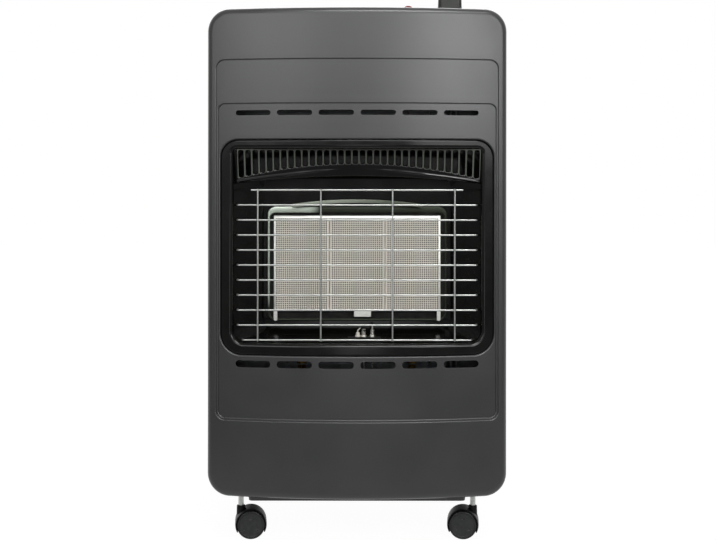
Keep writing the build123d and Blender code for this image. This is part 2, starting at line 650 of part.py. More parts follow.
def side_panel(side):
    """Side of the casing: C-shaped sheet with flanges in front and behind, and air slots."""
    body = casing(0, SIDE_Y0, SIDE_Y1) - casing(SHEET, SIDE_Y0 - 1, SIDE_Y1 + 1)
    for y0, width in ((SIDE_Y0, SIDE_FLANGE), (SIDE_Y1 - SHEET, REAR_FLANGE)):
        body += casing(0, y0, y0 + SHEET) - casing(width, y0 - 1, y0 + SHEET + 1)
    x0, x1 = (SIDE_LEDGE, HALF) if side > 0 else (-HALF, -SIDE_LEDGE)
    body &= block(x0, x1, SIDE_Y0, SIDE_Y1, SIDE_LOW, SIDE_HIGH)
    t0, t1 = sorted((side * (SIDE_LEDGE - 1), side * TOP_LEDGE))
    body -= block(t0, t1, SIDE_Y0 - 1, SIDE_Y1 + 1, SIDE_HIGH - 2 * SIDE_FLANGE, SIDE_HIGH + 1)
    for x, y in CASTERS.values():
        if x * side > 0:
            body -= rod(x, y, SIDE_LOW - 1, SIDE_LOW + SHEET + 1, SLEEVE_RADIUS + FIT)
    for x, y in top_screw_places():
        if x * side > 0:
            body -= rod(x, y, SIDE_HIGH - 3, SIDE_HIGH + 1, SCREW_RADIUS + SCREW_CLEAR)
    middle = (SIDE_Y0 + SIDE_Y1) / 2
    slot = Plane((side * (SIDE_OUT - 2), middle, 0), x_dir=(0, 1, 0), z_dir=(1, 0, 0))
    for base in (SIDE_LOW + VENT_LOW_RISE, SIDE_HIGH - VENT_HIGH_DROP):
        for step in range(VENT_COUNT):
            shape = slot * Pos(0, base + step * VENT_PITCH) * SlotOverall(VENT_LENGTH, VENT_HEIGHT)
            body -= extrude(shape, amount=4, both=True)
    return body


def top_panel():
    """Flat top on the ledges of the side panels, with holes for the knob and the igniter."""
    length = REAR_Y - RIM_Y - FIT
    y = (REAR_Y + RIM_Y + FIT) / 2
    outer = RectangleRounded(2 * TOP_HALF, length, TOP_CORNER)
    plate = extrude(Pos(0, y, SIDE_HIGH) * outer, amount=SHEET)
    plate = chamfer(plate.edges().group_by(Axis.Z)[-1], TOP_BEVEL)
    plate -= rod(KNOB_X, VALVE_Y, SIDE_HIGH - 1, TOP_Z + 1, SLEEVE_OUT + SLEEVE_ROOM)
    plate -= rod(BUTTON_X, IGNITER_Y, SIDE_HIGH - 1, TOP_Z + 1, IGNITER_RADIUS + FIT)
    for x, y in top_screw_places():
        plate -= rod(x, y, SIDE_HIGH - 1, TOP_Z + 1, SCREW_RADIUS + SCREW_CLEAR)
    return plate


def rear_cover(z0, z1):
    """Pressed pan for the back: rim turned forward, rounded edges."""
    y0 = REAR_Y - REAR_PAN
    body = prism(REAR_HALF, z0, z1, y0, REAR_Y, REAR_CORNER)
    body = fillet(body.faces().sort_by(Axis.Y)[-1].outer_wire().edges(), REAR_ROLL)
    inner = prism(
        REAR_HALF - SHEET, z0 + SHEET, z1 - SHEET, y0 - 1, REAR_Y - SHEET, REAR_CORNER - SHEET
    )
    inner = fillet(inner.faces().sort_by(Axis.Y)[-1].outer_wire().edges(), REAR_ROLL - SHEET)
    return body - inner


def rear_vents(z, count):
    """Column of wide slots in a rear cover, ready to cut."""
    cut = []
    for step in range(count):
        place = Plane((0, REAR_Y + 1, z + step * VENT_PITCH), x_dir=(1, 0, 0), z_dir=(0, -1, 0))
        cut.append(extrude(place * SlotOverall(2 * VENT_LENGTH, VENT_HEIGHT), amount=4))
    return cut


def rear_upper_panel():
    """Fixed upper half of the back, with warm-air slots."""
    top = SIDE_HIGH - FIT
    room = top - REAR_UPPER_BOTTOM - 2 * UPPER_VENT_RISE
    count = int(room / VENT_PITCH) + 1
    body = rear_cover(REAR_UPPER_BOTTOM, top)
    return body - rear_vents(REAR_UPPER_BOTTOM + UPPER_VENT_RISE, count)


def rear_door():
    """Door over the gas cylinder: pan with air slots and a finger slot at its free side."""
    body = rear_cover(DOOR_BOTTOM, DOOR_TOP)
    body -= rear_vents(DOOR_BOTTOM + DOOR_VENT_RISE, DOOR_VENT_COUNT)
    middle = (DOOR_BOTTOM + DOOR_TOP) / 2
    place = Plane((REAR_HALF - PULL_INSET, REAR_Y + 1, middle), x_dir=(0, 0, 1), z_dir=(0, -1, 0))
    body -= extrude(place * SlotOverall(PULL_LENGTH, PULL_HEIGHT), amount=4)
    return body


# ------------------------------------------------------------------ door hinge and catch
def hinge_pintles():
    """Fixed halves of the two lift-off hinges: leaf on the side panel's flange, and its pin."""
    made = []
    face = SIDE_Y1 + WELD_GAP
    for z in HINGE_HEIGHTS:
        low, top = z - KNUCKLE_LENGTH, z
        body = block(HINGE_X, HINGE_X + LEAF_WIDTH, face, face + LEAF, low, top)
        body += block(HINGE_X - LEAF / 2, HINGE_X + LEAF / 2, face, HINGE_Y, low, top)
        body += rod(HINGE_X, HINGE_Y, low, top, KNUCKLE_RADIUS)
        body += rod(HINGE_X, HINGE_Y, top, top + KNUCKLE_LENGTH - PINTLE_SHORT, PINTLE_RADIUS)
        made.append(body)
    return made


def hinge_knuckles():
    """Door halves of the hinges: knuckle that drops on the pin, with a leaf on the door's rim."""
    made = []
    leaf_x = -REAR_HALF - WELD_GAP
    for z in HINGE_HEIGHTS:
        low = z + FIT
        top = low + KNUCKLE_LENGTH
        body = rod(HINGE_X, HINGE_Y, low, top, KNUCKLE_RADIUS)
        body += block(HINGE_X, leaf_x, HINGE_Y - LEAF / 2, HINGE_Y + LEAF / 2, low, top)
        y0, y1 = REAR_Y - REAR_PAN + LEAF_EDGES[0], REAR_Y - LEAF_EDGES[1]
        body += block(leaf_x - LEAF, leaf_x, y0, y1, low, top + LEAF_RISE)
        body -= rod(HINGE_X, HINGE_Y, low - 1, top + 1, PINTLE_RADIUS + RUN)
        made.append(body)
    return made


def catch_bar(half, tall, y0, y1, corner):
    """Upright bar with rounded corners at the catch."""
    return prism(half, CATCH_Z - tall / 2, CATCH_Z + tall / 2, y0, y1, corner, x=CATCH_X)


def door_catch_magnet():
    """Magnetic catch on the side panel's rear flange, with its magnet facing the door."""
    y1 = SIDE_Y1 + CATCH_DEEP
    case = catch_bar(CATCH_HALF, CATCH_TALL, SIDE_Y1 + WELD_GAP, y1, CATCH_CORNER)
    magnet = catch_bar(CATCH_HALF - CATCH_BORDER, MAGNET_TALL, y1, y1 + MAGNET_PROUD, MAGNET_CORNER)
    return case + magnet


def door_catch_plate():
    """Striker plate on the inside of the door."""
    y1 = REAR_Y - SHEET - WELD_GAP
    return catch_bar(CATCH_HALF, STRIKER_TALL, y1 - STRIKER_SKIN, y1, CATCH_CORNER)


# ------------------------------------------------------------------ screws
def top_screw_places():
    """Screws that hold the top panel to the ledges."""
    x = TOP_HALF - SCREW_EDGE
    y0, y1 = RIM_Y + SCREW_FRONT, REAR_Y - SCREW_REAR
    return [(side * x, y) for side in (-1, 1) for y in (y0, y1)]


def pan_screw():
    """Pan-head screw, head up, seat at the origin."""
    head = Pos(0, 0, SCREW_HEAD_HEIGHT / 2) * Cylinder(SCREW_HEAD, SCREW_HEAD_HEIGHT)
    head = fillet(head.edges().group_by(Axis.Z)[-1], SCREW_ROLL)
    return head + Pos(0, 0, -SCREW_LENGTH / 2) * Cylinder(SCREW_RADIUS, SCREW_LENGTH)


def cabinet_screws():
    """Screws of the top panel."""
    return [Pos(x, y, TOP_Z + WELD_GAP) * pan_screw() for x, y in top_screw_places()]


# ------------------------------------------------------------------ base tray
def tray_form(inset):
    """Dropped floor of the tray, moved in by inset."""
    y0, y1 = EDGE_Y + TRAY_FRONT + DROP_FRONT, SIDE_Y1 - DROP_REAR
    length = y1 - y0 - 2 * DROP_SLOPE - 2 * inset
    low = TRAY_TOP - TRAY_DROP - TRAY_SHEET + inset
    height = TRAY_TOP - low
    angle = degrees_of(DROP_SLOPE, TRAY_DROP)
    base = RectangleRounded(2 * (DROP_HALF - inset), length, DROP_CORNER)
    return extrude(Pos(0, (y0 + y1) / 2, low) * base, amount=height, taper=-angle)


def degrees_of(across, along):
    """Angle of a slope, in degrees."""
    return Vector(along, across).get_angle(Vector(1, 0))


def base_tray():
    """Pressed tray: flat border that carries the casters, dropped floor for the cylinder."""
    y0, y1 = EDGE_Y + TRAY_FRONT, SIDE_Y1 - SHEET - 2 * FIT
    body = block(-TRAY_HALF, TRAY_HALF, y0, y1, TRAY_UNDER, TRAY_TOP)
    for y in (y0, y1 - TRAY_SHEET):
        inside = SIDE_LEDGE - 2
        body += block(-inside, inside, y, y + TRAY_SHEET, TRAY_UNDER, TRAY_TOP + TRAY_RIM)
    body += tray_form(0)
    body -= tray_form(TRAY_SHEET)
    for x, y in CASTERS.values():
        body -= rod(x, y, TRAY_UNDER - 1, TRAY_TOP + 1, SLEEVE_RADIUS + FIT)
    return body


# ------------------------------------------------------------------ casters
def caster_sockets():
    """Flanged sleeves, clamped through the tray and the ledges, in which the stems turn."""
    made = []
    for x, y in CASTERS.values():
        over = SIDE_LOW + SHEET + WELD_GAP
        body = rod(x, y, SLEEVE_BOTTOM, STEM_TOP, SLEEVE_RADIUS)
        body += rod(x, y, over, over + SLEEVE_RIM, SLEEVE_FLANGE)
        under = TRAY_UNDER - WELD_GAP
        body += rod(x, y, under - SLEEVE_RIM, under, SLEEVE_COLLAR)
        body -= rod(x, y, SLEEVE_BOTTOM - 1, STEM_TOP + 1, STEM_RADIUS + RUN)
        made.append(body)
    return made


def placed(shape, corner):
    """Piece of a caster, made round the stem, at its corner and turned as the caster stands."""
    x, y = CASTERS[corner]
    return Pos(x, y, 0) * Rot(0, 0, CASTER_YAW[corner]) * shape


def caster_hood():
    """Hood over both wheels, its web between them and the boss for the stem."""
    skin = rod_y(TRAIL, WHEEL_RADIUS, -HOOD_HALF, HOOD_HALF, HOOD_RADIUS)
    skin = fillet(skin.edges().filter_by(GeomType.CIRCLE), HOOD_ROLL)
    reach = TRAIL + HOOD_RADIUS + 5
    skin &= block(-reach, reach, -HOOD_HALF, HOOD_HALF, HOOD_CUT, BOSS_TOP)
    body = skin + rod(0, 0, WHEEL_RADIUS, BOSS_TOP, BOSS_RADIUS)
    half_web = (WHEEL_GAP - 2 * FIT) / 2
    inner = HOOD_RADIUS - HOOD_SKIN
    for side in (-1, 1):
        y0, y1 = sorted((side * half_web, side * (HOOD_HALF + 2)))
        body -= rod_y(TRAIL, WHEEL_RADIUS, y0, y1, inner)
    body -= rod(0, 0, BOSS_TOP - STEM_SEAT, BOSS_TOP + 1, STEM_RADIUS + PRESS)
    body -= rod_y(TRAIL, WHEEL_RADIUS, -HOOD_HALF, HOOD_HALF, AXLE_RADIUS + RUN)
    return body


def caster_stem():
    """Stem pressed in the hood's boss."""
    stem = rod(0, 0, BOSS_TOP - STEM_SEAT + WELD_GAP, STEM_TOP, STEM_RADIUS)
    return chamfer(stem.edges().group_by(Axis.Z)[-1], STEM_BEVEL)


def caster_wheels():
    """Pair of wheels pressed on their axle."""
    made = []
    outside = WHEEL_GAP / 2 + WHEEL_WIDTH
    for side in (-1, 1):
        y0, y1 = sorted((side * WHEEL_GAP / 2, side * outside))
        wheel = rod_y(TRAIL, WHEEL_RADIUS, y0, y1, WHEEL_RADIUS)
        wheel = fillet(wheel.edges().filter_by(GeomType.CIRCLE), WHEEL_ROLL)
        face = y1 if side > 0 else y0
        y0, y1 = face - HUB_SINK, face + HUB_SINK
        ring = rod_y(TRAIL, WHEEL_RADIUS, y0, y1, WHEEL_RADIUS - HUB_BORDER)
        ring -= rod_y(TRAIL, WHEEL_RADIUS, y0 - 1, y1 + 1, AXLE_RADIUS + HUB_BOSS)
        made.append(wheel - ring)
    half_axle = outside - AXLE_SHORT
    made[0] += rod_y(TRAIL, WHEEL_RADIUS, -half_axle, half_axle, AXLE_RADIUS)
    made[1] -= rod_y(TRAIL, WHEEL_RADIUS, -half_axle, half_axle, AXLE_RADIUS + PRESS)
    return made


# ------------------------------------------------------------------ window bezel and louvres
def bezel_form(inset):
    """Solid with the bezel's surface, moved in by inset."""
    edge = WINDOW_HALF - FIT - inset
    body = prism(
        edge,
        WINDOW_BOTTOM + FIT + inset,
        WINDOW_TOP - FIT - inset,
        AHEAD,
        BEZEL_Y,
        WINDOW_CORNER_LOW - FIT - inset,
        WINDOW_CORNER_HIGH - FIT - inset,
    )
    body &= behind_bow(BEZEL_SINK + inset)
    body = fillet(bow_face(body, BEZEL_SINK + inset).outer_wire().edges(), BEZEL_OUTER_ROLL - inset)
    body -= prism(
        OPENING_HALF + inset,
        OPENING_BOTTOM - inset,
        OPENING_TOP + inset,
        AHEAD,
        BEZEL_Y + 1,
        OPENING_CORNER + inset,
        OPENING_CORNER_HIGH + inset,
    )
    face = bow_face(body, BEZEL_SINK + inset)
    return fillet(face.inner_wires()[0].edges(), BEZEL_ROLL - inset)


def window_bezel():
    """Enamelled frame of the window: a channel with a rolled inner edge."""
    return bezel_form(0) - bezel_form(SHEET)


def louvre_y(z):
    """Front of the sloping louvre plate at height z."""
    share = (OPENING_TOP - z) / (OPENING_TOP - HOOD_LIP_Z)
    return EDGE_Y + LOUVRE_TOP_Y + share * (LOUVRE_LOW_Y - LOUVRE_TOP_Y)


def under_arch(middle_z, radius, half):
    """Region below an arch, ready to cut."""
    y0, y1 = AHEAD, PAN_BACK_Y
    disc = rod_y(0, middle_z - radius, y0, y1, radius)
    return disc & block(-half, half, y0, y1, middle_z - 120, middle_z + 1)


def louvre_hood():
    """Sloping plate under the top of the window: a row of slots that ends in an arch, and a lip."""
    top = OPENING_TOP - FIT
    half = OPENING_HALF - FIT
    low = HOOD_LIP_Z - 40
    profile = Polyline(
        (louvre_y(low), low),
        (louvre_y(top), top),
        (louvre_y(top) + LOUVRE_FLANGE, top),
        (louvre_y(top) + LOUVRE_FLANGE, top - SHEET),
        (louvre_y(top) + SHEET, top - SHEET),
        (louvre_y(low) + SHEET, low),
        close=True,
    )
    place = Plane((-half, 0, 0), x_dir=(0, 1, 0), z_dir=(1, 0, 0))
    plate = extrude(place * make_face(profile), amount=2 * half)
    plate &= prism(half, low, top, AHEAD, PAN_BACK_Y, 0, OPENING_CORNER_HIGH - FIT)
    plate -= under_arch(HOOD_LIP_Z, HOOD_LIP_RADIUS, half + 1)
    slots = prism(half, low, LOUVRE_SLOT_TOP, AHEAD, PAN_BACK_Y)
    slots -= under_arch(LOUVRE_ARCH_Z, LOUVRE_ARCH_RADIUS, half + 1)
    cuts = []
    for step in range(LOUVRE_COUNT):
        x = (step - (LOUVRE_COUNT - 1) / 2) * LOUVRE_PITCH
        middle = louvre_y(LOUVRE_SLOT_TOP)
        column = block(
            x - LOUVRE_WIDTH / 2, x + LOUVRE_WIDTH / 2, middle - 5, middle + 20, low, OPENING_TOP
        )
        cuts.append(column & slots)
    plate -= cuts
    return plate


def corners_of(half, z0, z1, y, radius):
    """Rounded outline that lies in the plane y."""
    place = Plane((0, y, (z0 + z1) / 2), x_dir=(1, 0, 0), z_dir=(0, -1, 0))
    return place * RectangleRounded(2 * half, z1 - z0, radius)


def pan_form(inset):
    """Tapered hollow of the reflector pan, made larger by inset."""
    mouth = corners_of(
        PAN_MOUTH_HALF + inset,
        PAN_MOUTH_BOTTOM - inset,
        PAN_MOUTH_TOP + inset,
        PAN_Y,
        PAN_MOUTH_CORNER + inset,
    )
    back = corners_of(
        PAN_BACK_HALF + inset,
        PAN_BACK_BOTTOM - inset,
        PAN_BACK_TOP + inset,
        PAN_BACK_Y - PAN_SHEET + inset,
        PAN_BACK_CORNER + inset,
    )
    return loft([mouth, back])


def reflector_pan():
    """Enamelled firebox pan: flange, four walls that close in, and a back with the burner hole."""
    half = PAN_MOUTH_HALF + PAN_FLANGE
    flange = prism(
        half,
        PAN_MOUTH_BOTTOM - PAN_FLANGE,
        PAN_MOUTH_TOP + PAN_FLANGE,
        PAN_Y,
        PAN_Y + PAN_SHEET,
        PAN_MOUTH_CORNER + PAN_FLANGE,
    )
    body = flange + pan_form(PAN_SHEET) - pan_form(0)
    body -= prism(FRAME_HALF + FIT, FRAME_LOW - FIT, FRAME_HIGH + FIT, PAN_Y, PAN_BACK_Y + 1)
    y0, y1 = PILOT_PLACE_Y - PILOT_HOLE_HALF, PILOT_PLACE_Y + PILOT_HOLE_HALF
    body -= block(*PILOT_HOLE, y0, y1, PAN_MOUTH_BOTTOM - PAN_LOW, PAN_BACK_BOTTOM)
    return body


def wire(points):
    """Guard wire along its points."""
    return tube(points, WIRE_RADIUS, GUARD_BEND)


def front_guard():
    """Welded wire guard: level wires hooked back to the pan's walls, and four uprights."""
    made = []
    y = EDGE_Y + GUARD_Y
    wall = (PAN_MOUTH_HALF - PAN_BACK_HALF) / (PAN_DEPTH - PAN_SHEET)
    back = PAN_Y + (PAN_MOUTH_HALF - GUARD_HALF - WIRE_RADIUS - FIT) / wall - FIT
    top_half = GUARD_HALF - GUARD_TOP_SHORT
    for step in range(GUARD_WIRES):
        z = GUARD_BOTTOM + step * GUARD_PITCH
        half = GUARD_HALF - GUARD_LOW_SHORT if step == 0 else GUARD_HALF
        if step == GUARD_WIRES - 1:
            made.append(rod_x(y, z, -top_half, top_half, WIRE_RADIUS))
        else:
            made.append(wire([(-half, back, z), (-half, y, z), (half, y, z), (half, back, z)]))
    low = GUARD_BOTTOM - WIRE_RADIUS
    top = GUARD_BOTTOM + (GUARD_WIRES - 1) * GUARD_PITCH + WIRE_RADIUS
    for x in GUARD_UPRIGHTS:
        made.append(rod(x, y - 2 * WIRE_RADIUS - WELD_GAP, low, top, WIRE_RADIUS))
    return made


# ------------------------------------------------------------------ burner
def ceramic_plaque(place):
    """Perforated ceramic plaque, place -1, 0 or 1 from the left."""
    half = PLAQUE_WIDTH / 2
    x = place * PLAQUE_PITCH
    body = prism(half, PLAQUE_BOTTOM, PLAQUE_TOP, PLAQUE_FRONT, PLAQUE_BACK, x=x)
    return chamfer(body.faces().sort_by(Axis.Y)[0].edges(), PLAQUE_BEVEL)


def burner_frame():
    """Bright strip that holds the plaques, with two legs and the middle clip below."""
    y0, y1 = PLAQUE_FRONT - FRAME_PROUD, PLAQUE_BACK
    body = prism(FRAME_HALF, FRAME_LOW, FRAME_HIGH, y0, y1)
    body -= prism(
        FRAME_HALF - FRAME_SKIN,
        FRAME_LOW + FRAME_SKIN,
        FRAME_HIGH - FRAME_SKIN,
        PLAQUE_FRONT - WELD_GAP,
        y1 + 1,
    )
    body -= prism(
        FRAME_HALF - FRAME_LIP, FRAME_LOW + FRAME_LIP, FRAME_HIGH - FRAME_LIP, y0 - 1, y1 + 1
    )
    for side in (-1, 1):
        x0, x1 = sorted((side * FRAME_HALF, side * (FRAME_HALF - LEG_WIDTH)))
        body += block(x0, x1, y0, y0 + FRAME_SKIN, FRAME_LOW - LEG_DROP, FRAME_LOW + FRAME_LIP)
    x0, x1 = CLIP_X - CLIP_WIDTH / 2, CLIP_X + CLIP_WIDTH / 2
    body += block(x0, x1, y0, y0 + FRAME_SKIN, FRAME_LOW - CLIP_DROP, FRAME_LOW + FRAME_SKIN)
    return body


def burner_surround():
    """Pressed frame between the burner and the pan's back, with rounded corners."""
    y1 = PAN_BACK_Y - PAN_SHEET - WELD_GAP
    y0 = y1 - SURROUND_SKIN
    body = prism(SURROUND_HALF, SURROUND_BOTTOM, SURROUND_TOP, y0, y1, SURROUND_CORNER)
    body = fillet(body.faces().sort_by(Axis.Y)[0].outer_wire().edges(), SURROUND_ROLL)
    body -= prism(FRAME_HALF + FIT, FRAME_LOW - FIT, FRAME_HIGH + FIT, y0 - 1, y1 + 1)
    return body


def burner_hood():
    """Arched lip on the pan's back above the burner, which throws the heat forward."""
    y1 = PAN_BACK_Y - PAN_SHEET - WELD_GAP
    y0 = y1 - HOOD_ARCH_REACH
    rise = HOOD_ARCH_TOP - SURROUND_TOP - FIT
    radius = (HOOD_ARCH_HALF**2 + rise**2) / (2 * rise)
    centre = HOOD_ARCH_TOP - radius
    arch = rod_y(0, centre, y0, y1, radius) - rod_y(0, centre, y0, y1, radius - HOOD_ARCH_SKIN)
    arch &= block(-HOOD_ARCH_HALF, HOOD_ARCH_HALF, y0, y1, SURROUND_TOP + FIT, HOOD_ARCH_TOP)
    return arch


def burner_body():
    """Mixture box behind the plaques, in three chambers, with a hole for each venturi."""
    z0, z1 = BODY_BOTTOM, BODY_TOP
    body = prism(BODY_HALF, z0, z1, BODY_Y0, BODY_Y1, BODY_CORNER)
    body = fillet(body.faces().sort_by(Axis.Y)[-1].outer_wire().edges(), BODY_ROLL)
    for place in (-1, 0, 1):
        half = PLAQUE_PITCH / 2 - BODY_SKIN
        x = place * PLAQUE_PITCH
        low, top = z0 + BODY_EDGE, z1 - BODY_EDGE
        body -= prism(half, low, top, BODY_Y0 - 1, BODY_Y1 - BODY_SKIN, x=x)
        body -= rod(x, VENTURI_Y, z0 - 1, low + 1, VENTURI_RADIUS - VENTURI_WALL)
    return body


def plaque_gasket():
    """Ceramic-fibre gasket between the plaques and the mixture box."""
    y0 = PLAQUE_BACK + WELD_GAP
    half = 1.5 * PLAQUE_PITCH
    body = prism(half, PLAQUE_BOTTOM, PLAQUE_TOP, y0, y0 + GASKET)
    for place in (-1, 0, 1):
        body -= prism(
            PLAQUE_PITCH / 2 - GASKET_RIB,
            PLAQUE_BOTTOM + GASKET_RIB,
            PLAQUE_TOP - GASKET_RIB,
            y0 - 1,
            y0 + GASKET + 1,
            x=place * PLAQUE_PITCH,
        )
    return body


def venturi_tubes():
    """Mixing tubes under the burner, with bell mouths over the injectors."""
    made = []
    for place in (-1, 0, 1):
        top = BODY_BOTTOM - WELD_GAP
        neck, mouth = VENTURI_BOTTOM + VENTURI_BELL, VENTURI_MOUTH
        wall = VENTURI_WALL
        section = Polyline(
            (VENTURI_RADIUS, top),
            (VENTURI_RADIUS, neck),
            (mouth, VENTURI_BOTTOM),
            (mouth - wall, VENTURI_BOTTOM),
            (VENTURI_RADIUS - wall, neck),
            (VENTURI_RADIUS - wall, top),
            close=True,
        )
        ring = revolve(Plane.XZ * make_face(section), axis=Axis.Z)
        made.append(Pos(place * PLAQUE_PITCH, VENTURI_Y, 0) * ring)
    return made


def injectors():
    """Brass injector holders: hexagon, nozzle and the nut of the gas pipe."""
    made = []
    for place in (-1, 0, 1):
        x = place * PLAQUE_PITCH
        seat = Pos(x, VENTURI_Y, BRACKET_Z + BRACKET_SKIN + WELD_GAP)
        body = extrude(seat * RegularPolygon(INJECTOR_HEX, 6), amount=INJECTOR_HEX_LENGTH)
        body += rod(x, VENTURI_Y, INJECTOR_BOTTOM, INJECTOR_TOP, NOZZLE_RADIUS)
        nut = Pos(x, VENTURI_Y, INJECTOR_BOTTOM) * RegularPolygon(PIPE_NUT_HEX, 6)
        made.append(body + extrude(nut, amount=PIPE_NUT_LENGTH))
    return made


def injector_bracket():
    """Angle under the burner that holds the three injectors in line with the venturis."""
    half = PLAQUE_PITCH + BRACKET_OVERHANG
    y0, y1 = VENTURI_Y - BRACKET_FRONT, SHIELD_Y - WELD_GAP
    z0, z1 = BRACKET_Z, BRACKET_Z + BRACKET_SKIN
    plate = block(-half, half, y0, y1, z0, z1)
    plate += block(-half, half, y1 - BRACKET_SKIN, y1, z0, z0 + BRACKET_WALL)
    for place in (-1, 0, 1):
        plate -= rod(place * PLAQUE_PITCH, VENTURI_Y, z0 - 1, z1 + 1, NOZZLE_RADIUS + FIT)
    return plate


def heat_shield():
    """Flanged sheet between the burner and the gas cylinder."""
    half = SIDE_OUT - SHEET - FIT
    y1 = SHIELD_Y + SHIELD_SKIN
    body = block(-half, half, SHIELD_Y, y1, SHIELD_BOTTOM, SHIELD_TOP)
    for side in (-1, 1):
        x0, x1 = sorted((side * half, side * (half - SHIELD_SKIN)))
        body += block(x0, x1, SHIELD_Y - SHIELD_FLANGE, y1, SHIELD_BOTTOM, SHIELD_TOP)
    body += block(-half, half, SHIELD_Y - SHIELD_FLANGE, y1, SHIELD_TOP - SHIELD_SKIN, SHIELD_TOP)
    x0, x1 = KNOB_X + SHIELD_NOTCH[0], KNOB_X + SHIELD_NOTCH[1]
    y0 = SHIELD_Y - SHIELD_FLANGE - 1
    body -= block(x0, x1, y0, SHIELD_Y, SHIELD_TOP - SHIELD_SKIN - 1, SHIELD_TOP + 1)
    return body


# ------------------------------------------------------------------ pilot group
def floor_z(y):
    """Height of the pan's floor at y."""
    share = (y - PAN_Y) / (PAN_DEPTH - PAN_SHEET)
    return PAN_MOUTH_BOTTOM + share * (PAN_BACK_BOTTOM - PAN_MOUTH_BOTTOM)


def pilot_bracket():
    """Small shelf on the pan's floor with holes for the pilot, the electrode and the sensor."""
    y0, y1 = PILOT_PLACE_Y - SHELF_FRONT, PILOT_PLACE_Y + SHELF_REAR
    x0, x1 = PILOT_HOLE[0] - SHELF_SIDES[0], PILOT_HOLE[1] + SHELF_SIDES[1]
    body = block(x0, x1, y0, y1, SHELF_Z - SHELF_SKIN, SHELF_Z)
    body += block(x0, x1, y0, y0 + SHELF_SKIN, floor_z(y0 + SHELF_SKIN) + FIT, SHELF_Z)
    holes = ((ELECTRODE_X, ELECTRODE_RADIUS), (PILOT_X, PILOT_RADIUS), (THERMO_X, THERMO_RADIUS))
    for x, radius in holes:
        body -= rod(x, PILOT_PLACE_Y, SHELF_Z - SHELF_SKIN - 1, SHELF_Z + 1, radius + FIT)
    return body


def pilot_burner():
    """Pilot burner: threaded body through the shelf, nut, and hood with its flame slot."""
    x, y, z = PILOT_X, PILOT_PLACE_Y, SHELF_Z + WELD_GAP
    body = rod(x, y, SHELF_Z - PILOT_UNDER, z + PILOT_OVER, PILOT_RADIUS)
    body += extrude(Pos(x, y, z) * RegularPolygon(PILOT_HEX, 6), amount=NUT_LOW)
    low, top = FLAME_SLOT
    return body - block(x - 1, x + 4, y - 4, y + 4, z + low, z + top)


def spark_electrode():
    """Spark electrode: ceramic sleeve through the shelf and a wire that leans to the pilot."""
    x, y, z = ELECTRODE_X, PILOT_PLACE_Y, SHELF_Z + WELD_GAP
    body = rod(x, y, SHELF_Z - ELECTRODE_UNDER, z + ELECTRODE_OVER, ELECTRODE_RADIUS)
    body += rod(x, y, z, z + ELECTRODE_COLLAR_SKIN, ELECTRODE_COLLAR)
    across, rise = SPARK_LEAN
    tip = [(x, y, z + ELECTRODE_OVER - 1), (x, y, z + SPARK_RISE), (x + across, y, z + rise)]
    return body + tube(tip, SPARK_RADIUS, SPARK_BEND)


def thermocouple():
    """Flame sensor: domed tip with its nut, and the thin lead that runs back to the valve."""
    x, y, z = THERMO_X, PILOT_PLACE_Y, SHELF_Z + WELD_GAP
    tip = rod(x, y, SHELF_Z - THERMO_UNDER, z + THERMO_OVER, THERMO_RADIUS)
    tip += rod(x, y, z + THERMO_OVER, z + THERMO_TIP_OVER, THERMO_TIP)
    tip += extrude(Pos(x, y, z) * RegularPolygon(THERMO_HEX, 6), amount=NUT_LOW)
    boss_x = KNOB_X - VALVE_HALF - SENSOR_REACH - FIT
    lane_x, lane_y = boss_x - LEAD_ASIDE, SHIELD_Y - LEAD_AHEAD
    low, high = LEAD_LEVEL, SHIELD_TOP + LEAD_OVER
    lead = [
        (x, y, SHELF_Z - THERMO_UNDER + 1),
        (x, y, low),
        (x, lane_y, low),
        (lane_x, lane_y, low),
        (lane_x, lane_y, high),
        (lane_x, VALVE_Y, high),
        (lane_x, VALVE_Y, TAIL_Z),
        (boss_x, VALVE_Y, TAIL_Z),
    ]
    return tip + tube(lead, LEAD_RADIUS, LEAD_BEND)


# ------------------------------------------------------------------ gas supply
def gas_valve_body():
    """Valve: cast body with its bore, a boss for the sensor lead, outlets below, inlet behind."""
    x, y = KNOB_X, VALVE_Y
    body = rod(x, y, VALVE_BOTTOM, VALVE_TOP, VALVE_RADIUS)
    low = Pos(x, y, VALVE_BOTTOM + VALVE_LOBE / 2) * Box(2 * VALVE_HALF, 2 * VALVE_DEEP, VALVE_LOBE)
    body += fillet(low.edges().filter_by(Axis.Z), VALVE_CORNER)
    body += rod_x(y, TAIL_Z, x - VALVE_HALF - SENSOR_REACH, x, SENSOR_BOSS)
    flange = RectangleRounded(*VALVE_FLANGE, VALVE_FLANGE_CORNER)
    body += extrude(Pos(x, y, VALVE_TOP - VALVE_FLANGE_SKIN) * flange, amount=VALVE_FLANGE_SKIN)
    body -= rod(x, y, BORE_BOTTOM, VALVE_TOP + 1, SLEEVE_OUT + RUN)
    inlet_y = y + VALVE_DEEP
    body -= rod_y(x, TAIL_Z, inlet_y - STUB_LENGTH - 1, inlet_y + 1, STUB_RADIUS + FIT)
    return body


